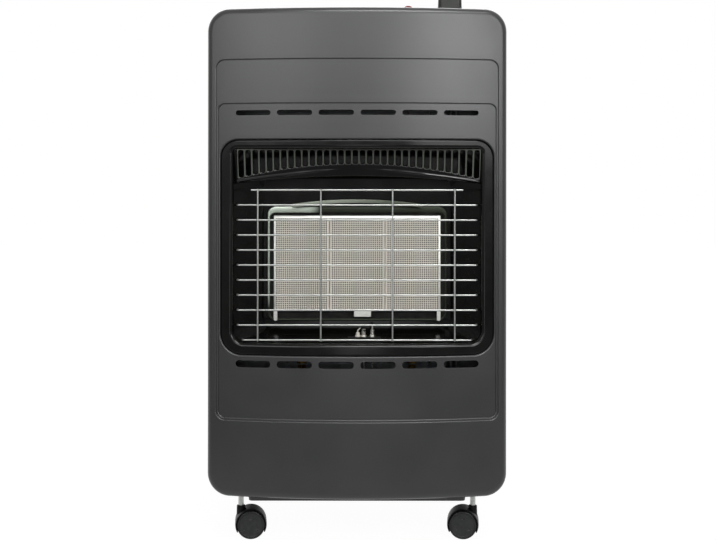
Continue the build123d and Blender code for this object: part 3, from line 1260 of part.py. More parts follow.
def valve_bracket():
    """Bridge under the top panel that carries the valve."""
    x, y = KNOB_X, VALVE_Y
    z = VALVE_TOP + WELD_GAP
    under = SIDE_HIGH - FIT
    x0, x1 = x + BRIDGE_SIDES[0], x + BRIDGE_SIDES[1]
    body = block(x0, x1, y - BRIDGE_HALF, y + BRIDGE_HALF, z, z + BRACKET_SKIN)
    for side in (-1, 1):
        inner = y + side * (BRIDGE_HALF - BRACKET_SKIN)
        y0, y1 = sorted((inner, y + side * BRIDGE_HALF))
        body += block(x0, x1, y0, y1, z, under)
        y0, y1 = sorted((inner, y + side * (BRIDGE_HALF + BRIDGE_FOOT)))
        body += block(x0, x1, y0, y1, under - BRACKET_SKIN, under)
    return body - rod(x, y, z - 1, z + BRACKET_SKIN + 1, SLEEVE_OUT + BRIDGE_ROOM)


def gas_inlet():
    """Hose tail behind the valve: hexagon and a grooved nozzle for the gas hose."""
    x = KNOB_X
    inlet_y = VALVE_Y + VALVE_DEEP
    face = inlet_y + WELD_GAP
    end = inlet_y + TAIL_HEX_LENGTH + TAIL_LENGTH
    seat = Plane((x, face, TAIL_Z), x_dir=(1, 0, 0), z_dir=(0, 1, 0))
    body = extrude(seat * RegularPolygon(TAIL_HEX, 6), amount=TAIL_HEX_LENGTH)
    body += rod_y(x, TAIL_Z, inlet_y - STUB_LENGTH, face + 1, STUB_RADIUS)
    body += rod_y(x, TAIL_Z, face + 1, end, TAIL_RADIUS)
    for step in range(GROOVE_COUNT):
        y = inlet_y + GROOVE_START + step * GROOVE_PITCH
        groove = rod_y(x, TAIL_Z, y, y + GROOVE_WIDTH, TAIL_RADIUS + 1)
        body -= groove - rod_y(x, TAIL_Z, y - 1, y + GROOVE_WIDTH + 1, TAIL_RADIUS - GROOVE_DEPTH)
    return body - rod_y(x, TAIL_Z, inlet_y - STUB_LENGTH - 1, end + 1, TAIL_BORE)


def gas_pipes():
    """Three pipes from the valve, over the shield and down to the injectors."""
    made = []
    y, over = VALVE_Y - PIPE_AHEAD, SHIELD_TOP + PIPE_OVER
    for step, place in enumerate((1, 0, -1)):
        x = KNOB_X + (step - 1) * PIPE_STEP
        level = PIPE_LEVELS[step]
        end = place * PLAQUE_PITCH
        route = [
            (x, y, VALVE_BOTTOM - WELD_GAP),
            (x, y, over),
            (x, VENTURI_Y, over),
            (x, VENTURI_Y, level),
            (end, VENTURI_Y, level),
            (end, VENTURI_Y, INJECTOR_BOTTOM - WELD_GAP),
        ]
        made.append(tube(route, PIPE_RADIUS, PIPE_BENDS[step]))
    return made


def pilot_pipe():
    """Thin pipe from the valve to the pilot burner."""
    lane_x, lane_y = KNOB_X - VALVE_HALF + PILOT_PIPE_IN, SHIELD_Y - PILOT_PIPE_AHEAD
    y, low, high = VALVE_Y + PILOT_PIPE_BACK, PILOT_LEVEL, SHIELD_TOP + PILOT_PIPE_OVER
    route = [
        (lane_x, y, VALVE_BOTTOM - WELD_GAP),
        (lane_x, y, high),
        (lane_x, lane_y, high),
        (lane_x, lane_y, low),
        (PILOT_X, lane_y, low),
        (PILOT_X, PILOT_PLACE_Y, low),
        (PILOT_X, PILOT_PLACE_Y, SHELF_Z - PILOT_UNDER - WELD_GAP),
    ]
    return tube(route, PILOT_PIPE_RADIUS, PILOT_PIPE_BEND)


def ignition_lead():
    """High-tension lead from the igniter, down the left and in under the pan to the electrode."""
    x, y, lane_x = BUTTON_X, IGNITER_Y, -BODY_HALF - SPARK_LEAD_OUT
    over, low = IGNITER_BOTTOM - SPARK_LEAD_DROP, VENTURI_BOTTOM - SPARK_LEAD_LOW
    route = [
        (x, y, IGNITER_BOTTOM - WELD_GAP),
        (x, y, over),
        (lane_x, y, over),
        (lane_x, y, low),
        (lane_x, PILOT_PLACE_Y, low),
        (ELECTRODE_X, PILOT_PLACE_Y, low),
        (ELECTRODE_X, PILOT_PLACE_Y, SHELF_Z - ELECTRODE_UNDER - WELD_GAP),
    ]
    return tube(route, LEAD_SLEEVE, SPARK_LEAD_BEND)


# ------------------------------------------------------------------ knob, spindle and igniter
def push_sleeve():
    """Sliding sleeve in the valve: pushed down with the knob, it opens the pilot."""
    x, y = KNOB_X, VALVE_Y
    low, high = SLEEVE_LOW, SLEEVE_HIGH
    body = rod(x, y, low, high, SLEEVE_OUT)
    body += rod(x, y, high - SHOULDER_SKIN, high, SLEEVE_OUT + SLEEVE_SHOULDER)
    return body - rod(x, y, low + SLEEVE_FLOOR, high + 1, SPINDLE_RADIUS + RUN)


def valve_spindle():
    """Spindle with a flat for the knob and a collar on the sleeve."""
    x, y = KNOB_X, VALVE_Y
    collar = SLEEVE_HIGH + WELD_GAP
    body = rod(x, y, SLEEVE_LOW + SLEEVE_FLOOR + FIT, SPINDLE_TOP, SPINDLE_RADIUS)
    body += rod(x, y, collar, collar + COLLAR_SKIN, SPINDLE_RADIUS + SPINDLE_COLLAR)
    return body - beyond_flat(0.0, KNOB_BOTTOM + FLAT_RISE)


def beyond_flat(clearance, z):
    """Region behind the spindle's flat, from z up."""
    x, y = KNOB_X, VALVE_Y
    reach = SPINDLE_RADIUS + 1
    flat = y + SPINDLE_RADIUS - SPINDLE_FLAT + clearance
    return block(x - reach, x + reach, flat, y + reach, z, SPINDLE_TOP + 1)


def control_knob():
    """Knob: round skirt, upright grip across it and a D-shaped bore."""
    x, y = KNOB_X, VALVE_Y
    skirt = rod(x, y, KNOB_BOTTOM, KNOB_BOTTOM + KNOB_SKIRT, KNOB_RADIUS)
    skirt = fillet(skirt.edges().group_by(Axis.Z)[-1], SKIRT_ROLL)
    base = RectangleRounded(2 * (KNOB_RADIUS - GRIP_SHORT), GRIP_THICK, GRIP_CORNER)
    low = KNOB_BOTTOM + GRIP_SUNK
    grip = extrude(Pos(x, y, low) * base, amount=KNOB_TOP - low, taper=GRIP_TAPER)
    grip = fillet(grip.edges().group_by(Axis.Z)[-1], KNOB_ROLL)
    bore = rod(x, y, KNOB_BOTTOM - 1, SPINDLE_TOP + FIT, SPINDLE_RADIUS + RUN)
    bore -= beyond_flat(RUN, KNOB_BOTTOM + FLAT_RISE + FIT)
    return skirt + grip - bore


def valve_return_spring():
    """Coil spring under the push sleeve."""
    low = BORE_BOTTOM + SPRING_WIRE + WELD_GAP
    high = SLEEVE_LOW - SPRING_WIRE - WELD_GAP
    pitch = (high - low) / SPRING_TURNS
    path = Helix(pitch, high - low, SPRING_RADIUS)
    start = Plane(path @ 0, z_dir=path % 0)
    coil = sweep(start * Circle(SPRING_WIRE), path=path, is_frenet=True)
    return Pos(KNOB_X, VALVE_Y, low) * coil


def piezo_igniter():
    """Igniter barrel under the top panel, with its round bezel above."""
    x, y = BUTTON_X, IGNITER_Y
    seat = TOP_Z + WELD_GAP
    body = rod(x, y, IGNITER_BOTTOM, seat, IGNITER_RADIUS)
    ring = rod(x, y, seat, seat + IGNITER_RING, IGNITER_FLANGE)
    body += fillet(ring.edges().group_by(Axis.Z)[-1], IGNITER_ROLL)
    return body - rod(x, y, BUTTON_TOP - BUTTON_BORE, seat + IGNITER_RING + 1, BUTTON_RADIUS + RUN)


def piezo_nut():
    """Nut that clamps the igniter under the top panel."""
    x, y, z1 = BUTTON_X, IGNITER_Y, SIDE_HIGH - WELD_GAP
    z0 = z1 - NUT_SKIN
    nut = extrude(Pos(x, y, z0) * RegularPolygon(NUT_HEX, 6), amount=NUT_SKIN)
    return nut - rod(x, y, z0 - 1, z1 + 1, IGNITER_RADIUS + THREAD_FIT)


def piezo_button():
    """Push button with a domed top."""
    x, y = BUTTON_X, IGNITER_Y
    low = BUTTON_TOP - BUTTON_BORE + BUTTON_TRAVEL + FIT
    body = rod(x, y, low, BUTTON_TOP, BUTTON_RADIUS)
    return fillet(body.edges().group_by(Axis.Z)[-1], BUTTON_DOME)


# ------------------------------------------------------------------ assembly
def parts():
    """Every node with its solid or solids."""
    made = {
        "front_panel": front_panel(),
        "side_panel_left": side_panel(-1),
        "side_panel_right": side_panel(1),
        "top_panel": top_panel(),
        "base_tray": base_tray(),
        "rear_upper_panel": rear_upper_panel(),
        "rear_door": rear_door(),
        "hinge_pintles": hinge_pintles(),
        "hinge_knuckles": hinge_knuckles(),
        "door_catch_magnet": door_catch_magnet(),
        "door_catch_plate": door_catch_plate(),
        "cabinet_screws": cabinet_screws(),
        "heat_shield": heat_shield(),
        "window_bezel": window_bezel(),
        "louvre_hood": louvre_hood(),
        "reflector_pan": reflector_pan(),
        "front_guard": front_guard(),
        "burner_surround": burner_surround(),
        "burner_hood": burner_hood(),
        "burner_frame": burner_frame(),
        "burner_body": burner_body(),
        "plaque_gasket": plaque_gasket(),
        "ceramic_plaque_left": ceramic_plaque(-1),
        "ceramic_plaque_centre": ceramic_plaque(0),
        "ceramic_plaque_right": ceramic_plaque(1),
        "venturi_tubes": venturi_tubes(),
        "injectors": injectors(),
        "injector_bracket": injector_bracket(),
        "pilot_bracket": pilot_bracket(),
        "pilot_burner": pilot_burner(),
        "spark_electrode": spark_electrode(),
        "thermocouple": thermocouple(),
        "gas_valve_body": gas_valve_body(),
        "valve_bracket": valve_bracket(),
        "gas_inlet": gas_inlet(),
        "gas_pipes": gas_pipes(),
        "pilot_pipe": pilot_pipe(),
        "ignition_lead": ignition_lead(),
        "push_sleeve": push_sleeve(),
        "valve_spindle": valve_spindle(),
        "control_knob": control_knob(),
        "valve_return_spring": valve_return_spring(),
        "piezo_igniter": piezo_igniter(),
        "piezo_nut": piezo_nut(),
        "piezo_button": piezo_button(),
        "caster_sockets": caster_sockets(),
    }
    for corner in CASTERS:
        made["caster_hood_" + corner] = placed(caster_hood(), corner)
        made["caster_stem_" + corner] = placed(caster_stem(), corner)
        made["caster_wheels_" + corner] = [placed(wheel, corner) for wheel in caster_wheels()]
    return made


def write(name, shape):
    """Write one node, as a group where it holds several solids."""
    pieces = shape if isinstance(shape, list) else [shape]
    solids = [solid for piece in pieces for solid in piece.solids()]
    node = solids[0] if len(solids) == 1 else Compound(children=solids)
    export_step(node, os.path.join("parts", name + ".step"))


os.makedirs("parts", exist_ok=True)
for node_name, node_shape in parts().items():
    write(node_name, node_shape)
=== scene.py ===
"""Looks of the portable gas cabinet heater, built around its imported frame."""

import json
import logging
import math
from collections.abc import Callable
from dataclasses import dataclass, field
from enum import Enum

import bmesh
import bpy
from mathutils import Matrix, Vector


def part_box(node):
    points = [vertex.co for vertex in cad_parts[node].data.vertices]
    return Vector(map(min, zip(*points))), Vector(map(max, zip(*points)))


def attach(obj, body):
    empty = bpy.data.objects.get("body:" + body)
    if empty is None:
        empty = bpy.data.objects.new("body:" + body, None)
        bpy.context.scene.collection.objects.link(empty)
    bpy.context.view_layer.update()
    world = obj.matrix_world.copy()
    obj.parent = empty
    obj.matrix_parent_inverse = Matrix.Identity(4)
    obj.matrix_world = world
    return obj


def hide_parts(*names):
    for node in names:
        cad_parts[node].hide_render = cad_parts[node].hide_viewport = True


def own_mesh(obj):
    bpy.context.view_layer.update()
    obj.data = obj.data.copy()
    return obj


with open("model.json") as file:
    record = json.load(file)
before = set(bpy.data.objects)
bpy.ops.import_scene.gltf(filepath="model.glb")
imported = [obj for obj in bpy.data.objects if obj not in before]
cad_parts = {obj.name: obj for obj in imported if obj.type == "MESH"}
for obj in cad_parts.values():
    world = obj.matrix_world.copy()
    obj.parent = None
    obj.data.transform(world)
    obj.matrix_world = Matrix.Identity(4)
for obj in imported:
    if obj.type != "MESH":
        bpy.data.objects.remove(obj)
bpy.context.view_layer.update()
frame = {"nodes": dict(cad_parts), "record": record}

LOG = logging.getLogger("heater")
MM = 0.001  # metres in a millimetre
WELD_MM = 0.001  # corners nearer than this are one

# Sockets of a Mix node that mixes two colours.
MIX_FACTOR, MIX_A, MIX_B, MIX_RESULT = 0, 6, 7, 2

Spot = tuple[float, float, float]
Flat = tuple[float, float]


# ------------------------------------------------------------------ colour and shader helpers
def linear(hex_colour: str) -> tuple[float, float, float, float]:
    """Turns an sRGB hex colour into Blender's linear colour.

    Args:
        hex_colour: six hex digits after a hash, such as "#5a5a5e".

    Returns:
        Linear red, green, blue and an alpha of one.
    """
    channels = [int(hex_colour[i : i + 2], 16) / 255.0 for i in (1, 3, 5)]
    curved = [c / 12.92 if c <= 0.04045 else ((c + 0.055) / 1.055) ** 2.4 for c in channels]
    return (curved[0], curved[1], curved[2], 1.0)


def add_node(tree: bpy.types.NodeTree, kind: str, sockets: dict, **settings) -> bpy.types.Node:
    """Adds one shader node with its settings and links.

    Args:
        tree: node tree that gets the node.
        kind: Blender's name of the node type.
        sockets: input name or index, with a plain value or the output socket that feeds it.
        settings: attributes of the node itself.

    Returns:
        The new node.
    """
    node = tree.nodes.new(kind)
    for name, value in settings.items():
        setattr(node, name, value)
    for key, value in sockets.items():
        if isinstance(value, bpy.types.NodeSocket):
            tree.links.new(value, node.inputs[key])
        else:
            node.inputs[key].default_value = value
    return node


# ------------------------------------------------------------------ finishes
class Pattern(Enum):
    """How a finish varies over its surface."""

    CLOUD = "soft uneven patches"
    SPANGLE = "flat crystals with straight borders"
    DRAWN = "lines along the way the metal was rolled or drawn"
    TURNED = "rings left by a lathe"
    # Painted reflection: a sheet drawn pale in one upper corner, where it mirrors a bright light, and dark
    # beyond.
    PAINTED_REFLECTION = "pale in one upper corner, dark towards the flames"


@dataclass(frozen=True)
class Finish:
    """A surface finish: its colours, its gloss and the size of its pattern.

    Attributes:
        title: plain name of the material and how it was made.
        colour: main colour.
        second: colour that the pattern mixes in.
        smooth: lowest roughness.
        rough: highest roughness.
        pattern: kind of pattern.
        pattern_mm: size of one patch, crystal or line.
        grain_mm: size of the fine relief.
        relief_mm: depth of the fine relief.
        stretch: how much longer the pattern is along X, Y and Z.
        metallic: one for bare metal.
        specular: strength of the reflection at right angles.
        reflection_mm: X and Z of the border of the painted reflection's pale corner.
    """

    title: str
    colour: str
    second: str
    smooth: float
    rough: float
    pattern: Pattern = Pattern.CLOUD
    pattern_mm: float = 20.0
    grain_mm: float = 1.0
    relief_mm: float = 0.02
    stretch: Spot = (1.0, 1.0, 1.0)
    metallic: float = 0.0
    specular: float = 0.5
    reflection_mm: Flat = (0.0, 0.0)

    def scaled(self, tree: bpy.types.NodeTree, size_mm: float) -> bpy.types.NodeSocket:
        """Gives object coordinates in which one unit is one patch of the pattern.

        Args:
            tree: node tree of the material.
            size_mm: size of one patch.

        Returns:
            The scaled coordinates.
        """
        place = add_node(tree, "ShaderNodeTexCoord", {})
        factors = tuple(1.0 / (size_mm * MM * s) for s in self.stretch)
        sockets = {"Vector": place.outputs["Object"], "Scale": factors}
        return add_node(tree, "ShaderNodeMapping", sockets, vector_type="POINT").outputs["Vector"]

    def painted_reflection(self, tree: bpy.types.NodeTree) -> bpy.types.NodeSocket:
        """Makes a painted reflection: a pale corner of the sheet, darker beyond it.

        Args:
            tree: node tree of the material.

        Returns:
            Zero in the pale corner of the painted reflection and one beyond it.
        """
        place = add_node(tree, "ShaderNodeTexCoord", {}).outputs["Object"]
        ways = add_node(tree, "ShaderNodeSeparateXYZ", {"Vector": place})
        shares = []
        for way, middle, sign in zip("XZ", self.reflection_mm, (1.0, -1.0)):
            start, end = ((middle - sign * side * self.pattern_mm) * MM for side in (1.0, -1.0))
            sockets = {"Value": ways.outputs[way], "From Min": start, "From Max": end}
            shares.append(add_node(tree, "ShaderNodeMapRange", sockets).outputs["Result"])
        return add_node(tree, "ShaderNodeMath", {0: shares[0], 1: shares[1]}, operation="MAXIMUM").outputs[0]

    def spread(self, tree: bpy.types.NodeTree) -> bpy.types.NodeSocket:
        """Makes the pattern that mixes the two colours.

        Args:
            tree: node tree of the material.

        Returns:
            A value from zero to one.
        """
        if self.pattern is Pattern.PAINTED_REFLECTION:
            return self.painted_reflection(tree)
        place = self.scaled(tree, self.pattern_mm)
        if self.pattern is Pattern.SPANGLE:
            cells = add_node(tree, "ShaderNodeTexVoronoi", {"Vector": place, "Scale": 1.0})
            return add_node(tree, "ShaderNodeSeparateColor", {"Color": cells.outputs["Color"]}).outputs["Red"]
        if self.pattern is Pattern.TURNED:
            sockets = {"Vector": place, "Scale": 1.0, "Distortion": 0.3, "Detail": 1.0}
            settings = {"wave_type": "RINGS", "rings_direction": "Z"}
            return add_node(tree, "ShaderNodeTexWave", sockets, **settings).outputs["Fac"]
        noise = add_node(tree, "ShaderNodeTexNoise", {"Vector": place, "Scale": 1.0, "Detail": 4.0})
        sockets = {"Value": noise.outputs["Fac"], "From Min": 0.32, "From Max": 0.68}
        return add_node(tree, "ShaderNodeMapRange", sockets).outputs["Result"]

    def relief(self, tree: bpy.types.NodeTree) -> bpy.types.NodeSocket:
        """Makes the fine relief of the surface.

        Args:
            tree: node tree of the material.

        Returns:
            The bumped normal.
        """
        sockets = {"Vector": self.scaled(tree, self.grain_mm), "Scale": 1.0, "Detail": 2.0}
        grain = add_node(tree, "ShaderNodeTexNoise", sockets)
        sockets = {"Height": grain.outputs["Fac"], "Distance": self.relief_mm * MM, "Strength": 1.0}
        return add_node(tree, "ShaderNodeBump", sockets).outputs["Normal"]

    def material(self, name: str) -> bpy.types.Material:
        """Builds the finish as a material.

        Args:
            name: name of the material.

        Returns:
            The new material.
        """
        made = bpy.data.materials.new(name)
        made.use_nodes = True
        tree = made.node_tree
        tree.nodes.clear()
        spread = self.spread(tree)
        sockets = {MIX_FACTOR: spread, MIX_A: linear(self.colour), MIX_B: linear(self.second)}
        colour = add_node(tree, "ShaderNodeMix", sockets, data_type="RGBA").outputs[MIX_RESULT]
        sockets = {"Value": spread, "To Min": self.smooth, "To Max": self.rough}
        gloss = add_node(tree, "ShaderNodeMapRange", sockets).outputs["Result"]
        sockets = {
            "Base Color": colour,
            "Roughness": gloss,
            "Metallic": self.metallic,
            "Specular IOR Level": self.specular,
            "Normal": self.relief(tree),
        }
        shader = add_node(tree, "ShaderNodeBsdfPrincipled", sockets)
        add_node(tree, "ShaderNodeOutputMaterial", {"Surface": shader.outputs["BSDF"]})
        return made


FINISHES: dict[str, Finish] = {
    # Graphite powder enamel, sprayed dry and baked: satin, with a faint orange peel that softens highlights.
    "cabinet_enamel": Finish(
        "baked powder enamel", "#323233", "#363637", 0.33, 0.37,
        pattern_mm=60.0, grain_mm=2.2, relief_mm=0.006, specular=0.75,
    ),
    # Black vitreous enamel, fused at red heat: deep black with hard, sharp highlights.
    "black_enamel": Finish(
        "black vitreous enamel", "#080808", "#0e0e0d", 0.12, 0.2,
        pattern_mm=35.0, grain_mm=6.0, relief_mm=0.01, specular=0.4,
    ),
    # Hot-dip galvanised sheet: flat zinc crystals that each catch the light differently.
    "galvanised_steel": Finish(
        "hot-dip galvanised sheet", "#a9adb0", "#c3c6c8", 0.3, 0.5, Pattern.SPANGLE,
        pattern_mm=7.0, grain_mm=1.5, relief_mm=0.008, metallic=1.0,
    ),
    # Aluminised steel, rolled: pale matt metal with faint lines, browned a little by heat.
    "aluminised_steel": Finish(
        "rolled aluminised steel", "#dfe0da", "#cbccc4", 0.42, 0.52, Pattern.DRAWN,
        pattern_mm=3.0, grain_mm=1.2, relief_mm=0.008, stretch=(8.0, 1.0, 1.0), metallic=1.0,
    ),
    # The same sheet after many firings: oxidised to an olive grey; paler at its left end, a painted reflection,
    # and darker towards the right.
    "heat_dulled_steel_painted_reflection": Finish(
        "heat-dulled aluminised steel", "#83897e", "#4c5047", 0.36, 0.46, Pattern.PAINTED_REFLECTION,
        pattern_mm=45.0, grain_mm=1.2, relief_mm=0.01, metallic=1.0, reflection_mm=(5.0, 0.0),
    ),
    # The surround's sheet: tempered to a dark olive by the flames, with a painted reflection that keeps its
    # upper left corner pale.
    "tempered_steel_painted_reflection": Finish(
        "heat-tinted aluminised steel", "#c4cec1", "#3a3e36", 0.36, 0.46, Pattern.PAINTED_REFLECTION,
        pattern_mm=7.0, grain_mm=1.2, relief_mm=0.01, metallic=1.0, reflection_mm=(-60.0, 336.0),
    ),
    # The frame's strip, the brightest metal of the burner: a paler copy of the aluminised sheet, painted as the
    # highlight that its lip catches.
    "aluminised_painted_highlight": Finish(
        "buffed aluminised steel", "#f2f2ee", "#e6e6e0", 0.38, 0.5, Pattern.DRAWN,
        pattern_mm=3.0, grain_mm=1.2, relief_mm=0.006, stretch=(8.0, 1.0, 1.0), metallic=1.0,
    ),
    # Nickel plate over the brass and copper of the pilot group: bright, faintly warm.
    "nickel_plate": Finish(
        "nickel plate", "#dcdad3", "#cfcdc5", 0.22, 0.34,
        pattern_mm=3.0, grain_mm=0.8, relief_mm=0.004, metallic=1.0,
    ),
    # Painted highlight along the crests of the louvres' rims: a pale grey-green where the rounded rims catch
    # the light.
    "enamel_painted_highlight": Finish(
        "rubbed enamel over its ground coat", "#62665e", "#555951", 0.26, 0.38,
        pattern_mm=6.0, grain_mm=2.0, relief_mm=0.01, specular=0.6,
    ),
    # Sheet that stays in the flames' draught: coated with matt soot; on the surround's gutter the same
    # near-black is painted shade.
    "soot_and_painted_shade": Finish(
        "sooted steel sheet", "#171815", "#0e0f0d", 0.6, 0.8,
        pattern_mm=9.0, grain_mm=1.0, relief_mm=0.02, specular=0.3,
    ),
    # The firebox's enamel: the same black glaze, dulled by heat.
    "fired_enamel": Finish(
        "heat-dulled black enamel", "#060605", "#0a0a09", 0.12, 0.2,
        pattern_mm=30.0, grain_mm=3.0, relief_mm=0.012, specular=0.3,
    ),
    # Chrome plate on drawn wire, clouded by use: bright, with thin streaks along the wire.
    "chromed_wire": Finish(
        "chromed drawn wire", "#cccecb", "#b9bbb8", 0.3, 0.4, Pattern.DRAWN,
        pattern_mm=1.2, grain_mm=1.0, relief_mm=0.002, stretch=(10.0, 1.0, 1.0), metallic=1.0,
    ),
    # Extruded cordierite, unglazed: chalky, warm grey, mottled by firing.
    "ceramic": Finish(
        "unglazed cordierite", "#e6ded5", "#dddbcf", 0.85, 0.95,
        pattern_mm=30.0, grain_mm=0.8, relief_mm=0.06, specular=0.3,
    ),
    # Painted shade inside the flame ports: the same ceramic, drawn a dark brownish grey where it is out of the
    # light.
    "port_painted_shade": Finish(
        "fired cordierite", "#5f5a50", "#6b665b", 0.9, 1.0,
        pattern_mm=12.0, grain_mm=0.8, relief_mm=0.03, specular=0.2,
    ),
    # Needled ceramic fibre: soft off-white felt.
    "ceramic_fibre": Finish(
        "ceramic fibre felt", "#e6e3d8", "#d2cfc2", 0.95, 1.0,
        pattern_mm=4.0, grain_mm=0.7, relief_mm=0.15, specular=0.2,
    ),
    # Turned brass: warm yellow with lathe rings.
    "brass": Finish(
        "turned brass", "#d9b061", "#c39a4c", 0.2, 0.32, Pattern.TURNED,
        pattern_mm=1.5, grain_mm=0.8, relief_mm=0.006, metallic=1.0,
    ),
    # Drawn aluminium tube: soft grey with lines along it.
    "pipe_aluminium": Finish(
        "drawn aluminium tube", "#c4c6c8", "#afb1b3", 0.3, 0.4, Pattern.DRAWN,
        pattern_mm=1.5, grain_mm=0.9, relief_mm=0.004, stretch=(1.0, 1.0, 8.0), metallic=1.0,
    ),
    # Zinc-plated screw steel: bluish, slightly cloudy.
    "zinc_screw": Finish(
        "zinc-plated steel", "#bfc3c8", "#a9adb3", 0.22, 0.34,
        pattern_mm=2.5, grain_mm=0.6, relief_mm=0.004, metallic=1.0,
    ),
    # Oil-hardened spring wire: dark, smooth steel.
    "spring_steel": Finish(
        "hardened spring wire", "#8d8f94", "#76787c", 0.25, 0.38, Pattern.DRAWN,
        pattern_mm=1.0, grain_mm=0.6, relief_mm=0.003, metallic=1.0,
    ),
    # Injection-moulded nylon: near-black, half gloss, with a fine eroded grain.
    "black_plastic": Finish(
        "moulded black nylon", "#141415", "#1b1b1c", 0.24, 0.34,
        pattern_mm=15.0, grain_mm=1.0, relief_mm=0.008,
    ),
    # Glass-filled nylon of the casters' hoods: black, nearly matt.
    "hood_nylon": Finish(
        "glass-filled black nylon", "#080809", "#0c0c0d", 0.38, 0.48,
        pattern_mm=12.0, grain_mm=1.0, relief_mm=0.01, specular=0.2,
    ),
    # The wheels' discs: the same nylon, scuffed and dusty.
    "scuffed_nylon": Finish(
        "scuffed black nylon", "#353636", "#2a2b2b", 0.4, 0.5,
        pattern_mm=8.0, grain_mm=1.0, relief_mm=0.012, specular=0.4,
    ),
    # Moulded phenolic knob: dark grey-green, satin.
    "knob_plastic": Finish(
        "moulded phenolic", "#2b2d29", "#252723", 0.34, 0.42,
        pattern_mm=12.0, grain_mm=0.9, relief_mm=0.008, specular=0.35,
    ),
    # Moulded ABS button: dark red, half gloss.
    "red_plastic": Finish(
        "moulded red ABS", "#7e2423", "#701e1e", 0.26, 0.34,
        pattern_mm=8.0, grain_mm=2.0, relief_mm=0.002,
    ),
    # Silicone-rubber sleeve: dull off-white that takes dust.
    "lead_sleeve": Finish(
        "silicone rubber sleeve", "#d8d4cb", "#c9c4b9", 0.5, 0.62,
        pattern_mm=10.0, grain_mm=1.2, relief_mm=0.01,
    ),
}


# Nodes next to the flames, which the heat has dulled.
HEATED = {
    "reflector_pan": "fired_enamel",
    "pilot_bracket": "soot_and_painted_shade",
    "pilot_burner": "nickel_plate",
    "thermocouple": "nickel_plate",
}


class Workshop:
    """Keeps one material for each slot and puts it on pieces."""

    def __init__(self) -> None:
        """Builds every finish once."""
        self.materials = {slot: finish.material(slot) for slot, finish in FINISHES.items()}

    def dress(self, piece: bpy.types.Object, slot: str) -> None:
        """Puts one finish on a whole piece."""
        piece.data.materials.clear()
        piece.data.materials.append(self.materials[slot])

    def hand_over(self, piece: bpy.types.Object, slot: str, body: str, *nodes: str, finish: str = "") -> None:
        """Dresses a new piece, puts it on its body and names the CAD nodes that it stands for.

        Args:
            piece: the new piece.
            slot: name of the record's material slot.
            body: body that the piece rides on.
            nodes: CAD nodes that the piece replaces.
            finish: the finish, where it isn't the slot's own.
        """
        finish = finish or slot
        self.dress(piece, finish)
        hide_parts(*nodes)
        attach(piece, body)
        LOG.info("%s: %s, in place of %s", piece.name, FINISHES[finish].title, ", ".join(nodes))

    def second_finish(
        self, piece: bpy.types.Object, finish: str, test: Callable[[float, float, float], bool]
    ) -> None:
        """Puts a second finish on some faces of a piece.

        Args:
            piece: piece that already has its first finish.
            finish: name of the second finish.
            test: tells from a face's middle, in mm, whether the face gets it.
        """
        piece.data.materials.append(self.materials[finish])
        for face in piece.data.polygons:
            if test(*(face.center / MM)):
                face.material_index = 1

    def dress_frame(self) -> None:
        """Gives each CAD node the finish of its own slot."""
        slots = {part["node"]: part["material_slot"] for part in frame["record"]["subparts"]}
        for name, piece in frame["nodes"].items():
            finish = HEATED.get(name, slots[name])
            self.dress(piece, finish)
            LOG.info("%s: %s", name, FINISHES[finish].title)


# ------------------------------------------------------------------ meshes
def turns(count: int) -> list[float]:
    """Angles of evenly spaced corners round a ring."""
    return [2 * math.pi * step / count for step in range(count)]


def quarter(steps: int) -> list[float]:
    """Angles from zero to a right angle, both ends included."""
    return [math.pi / 2 * step / steps for step in range(steps + 1)]


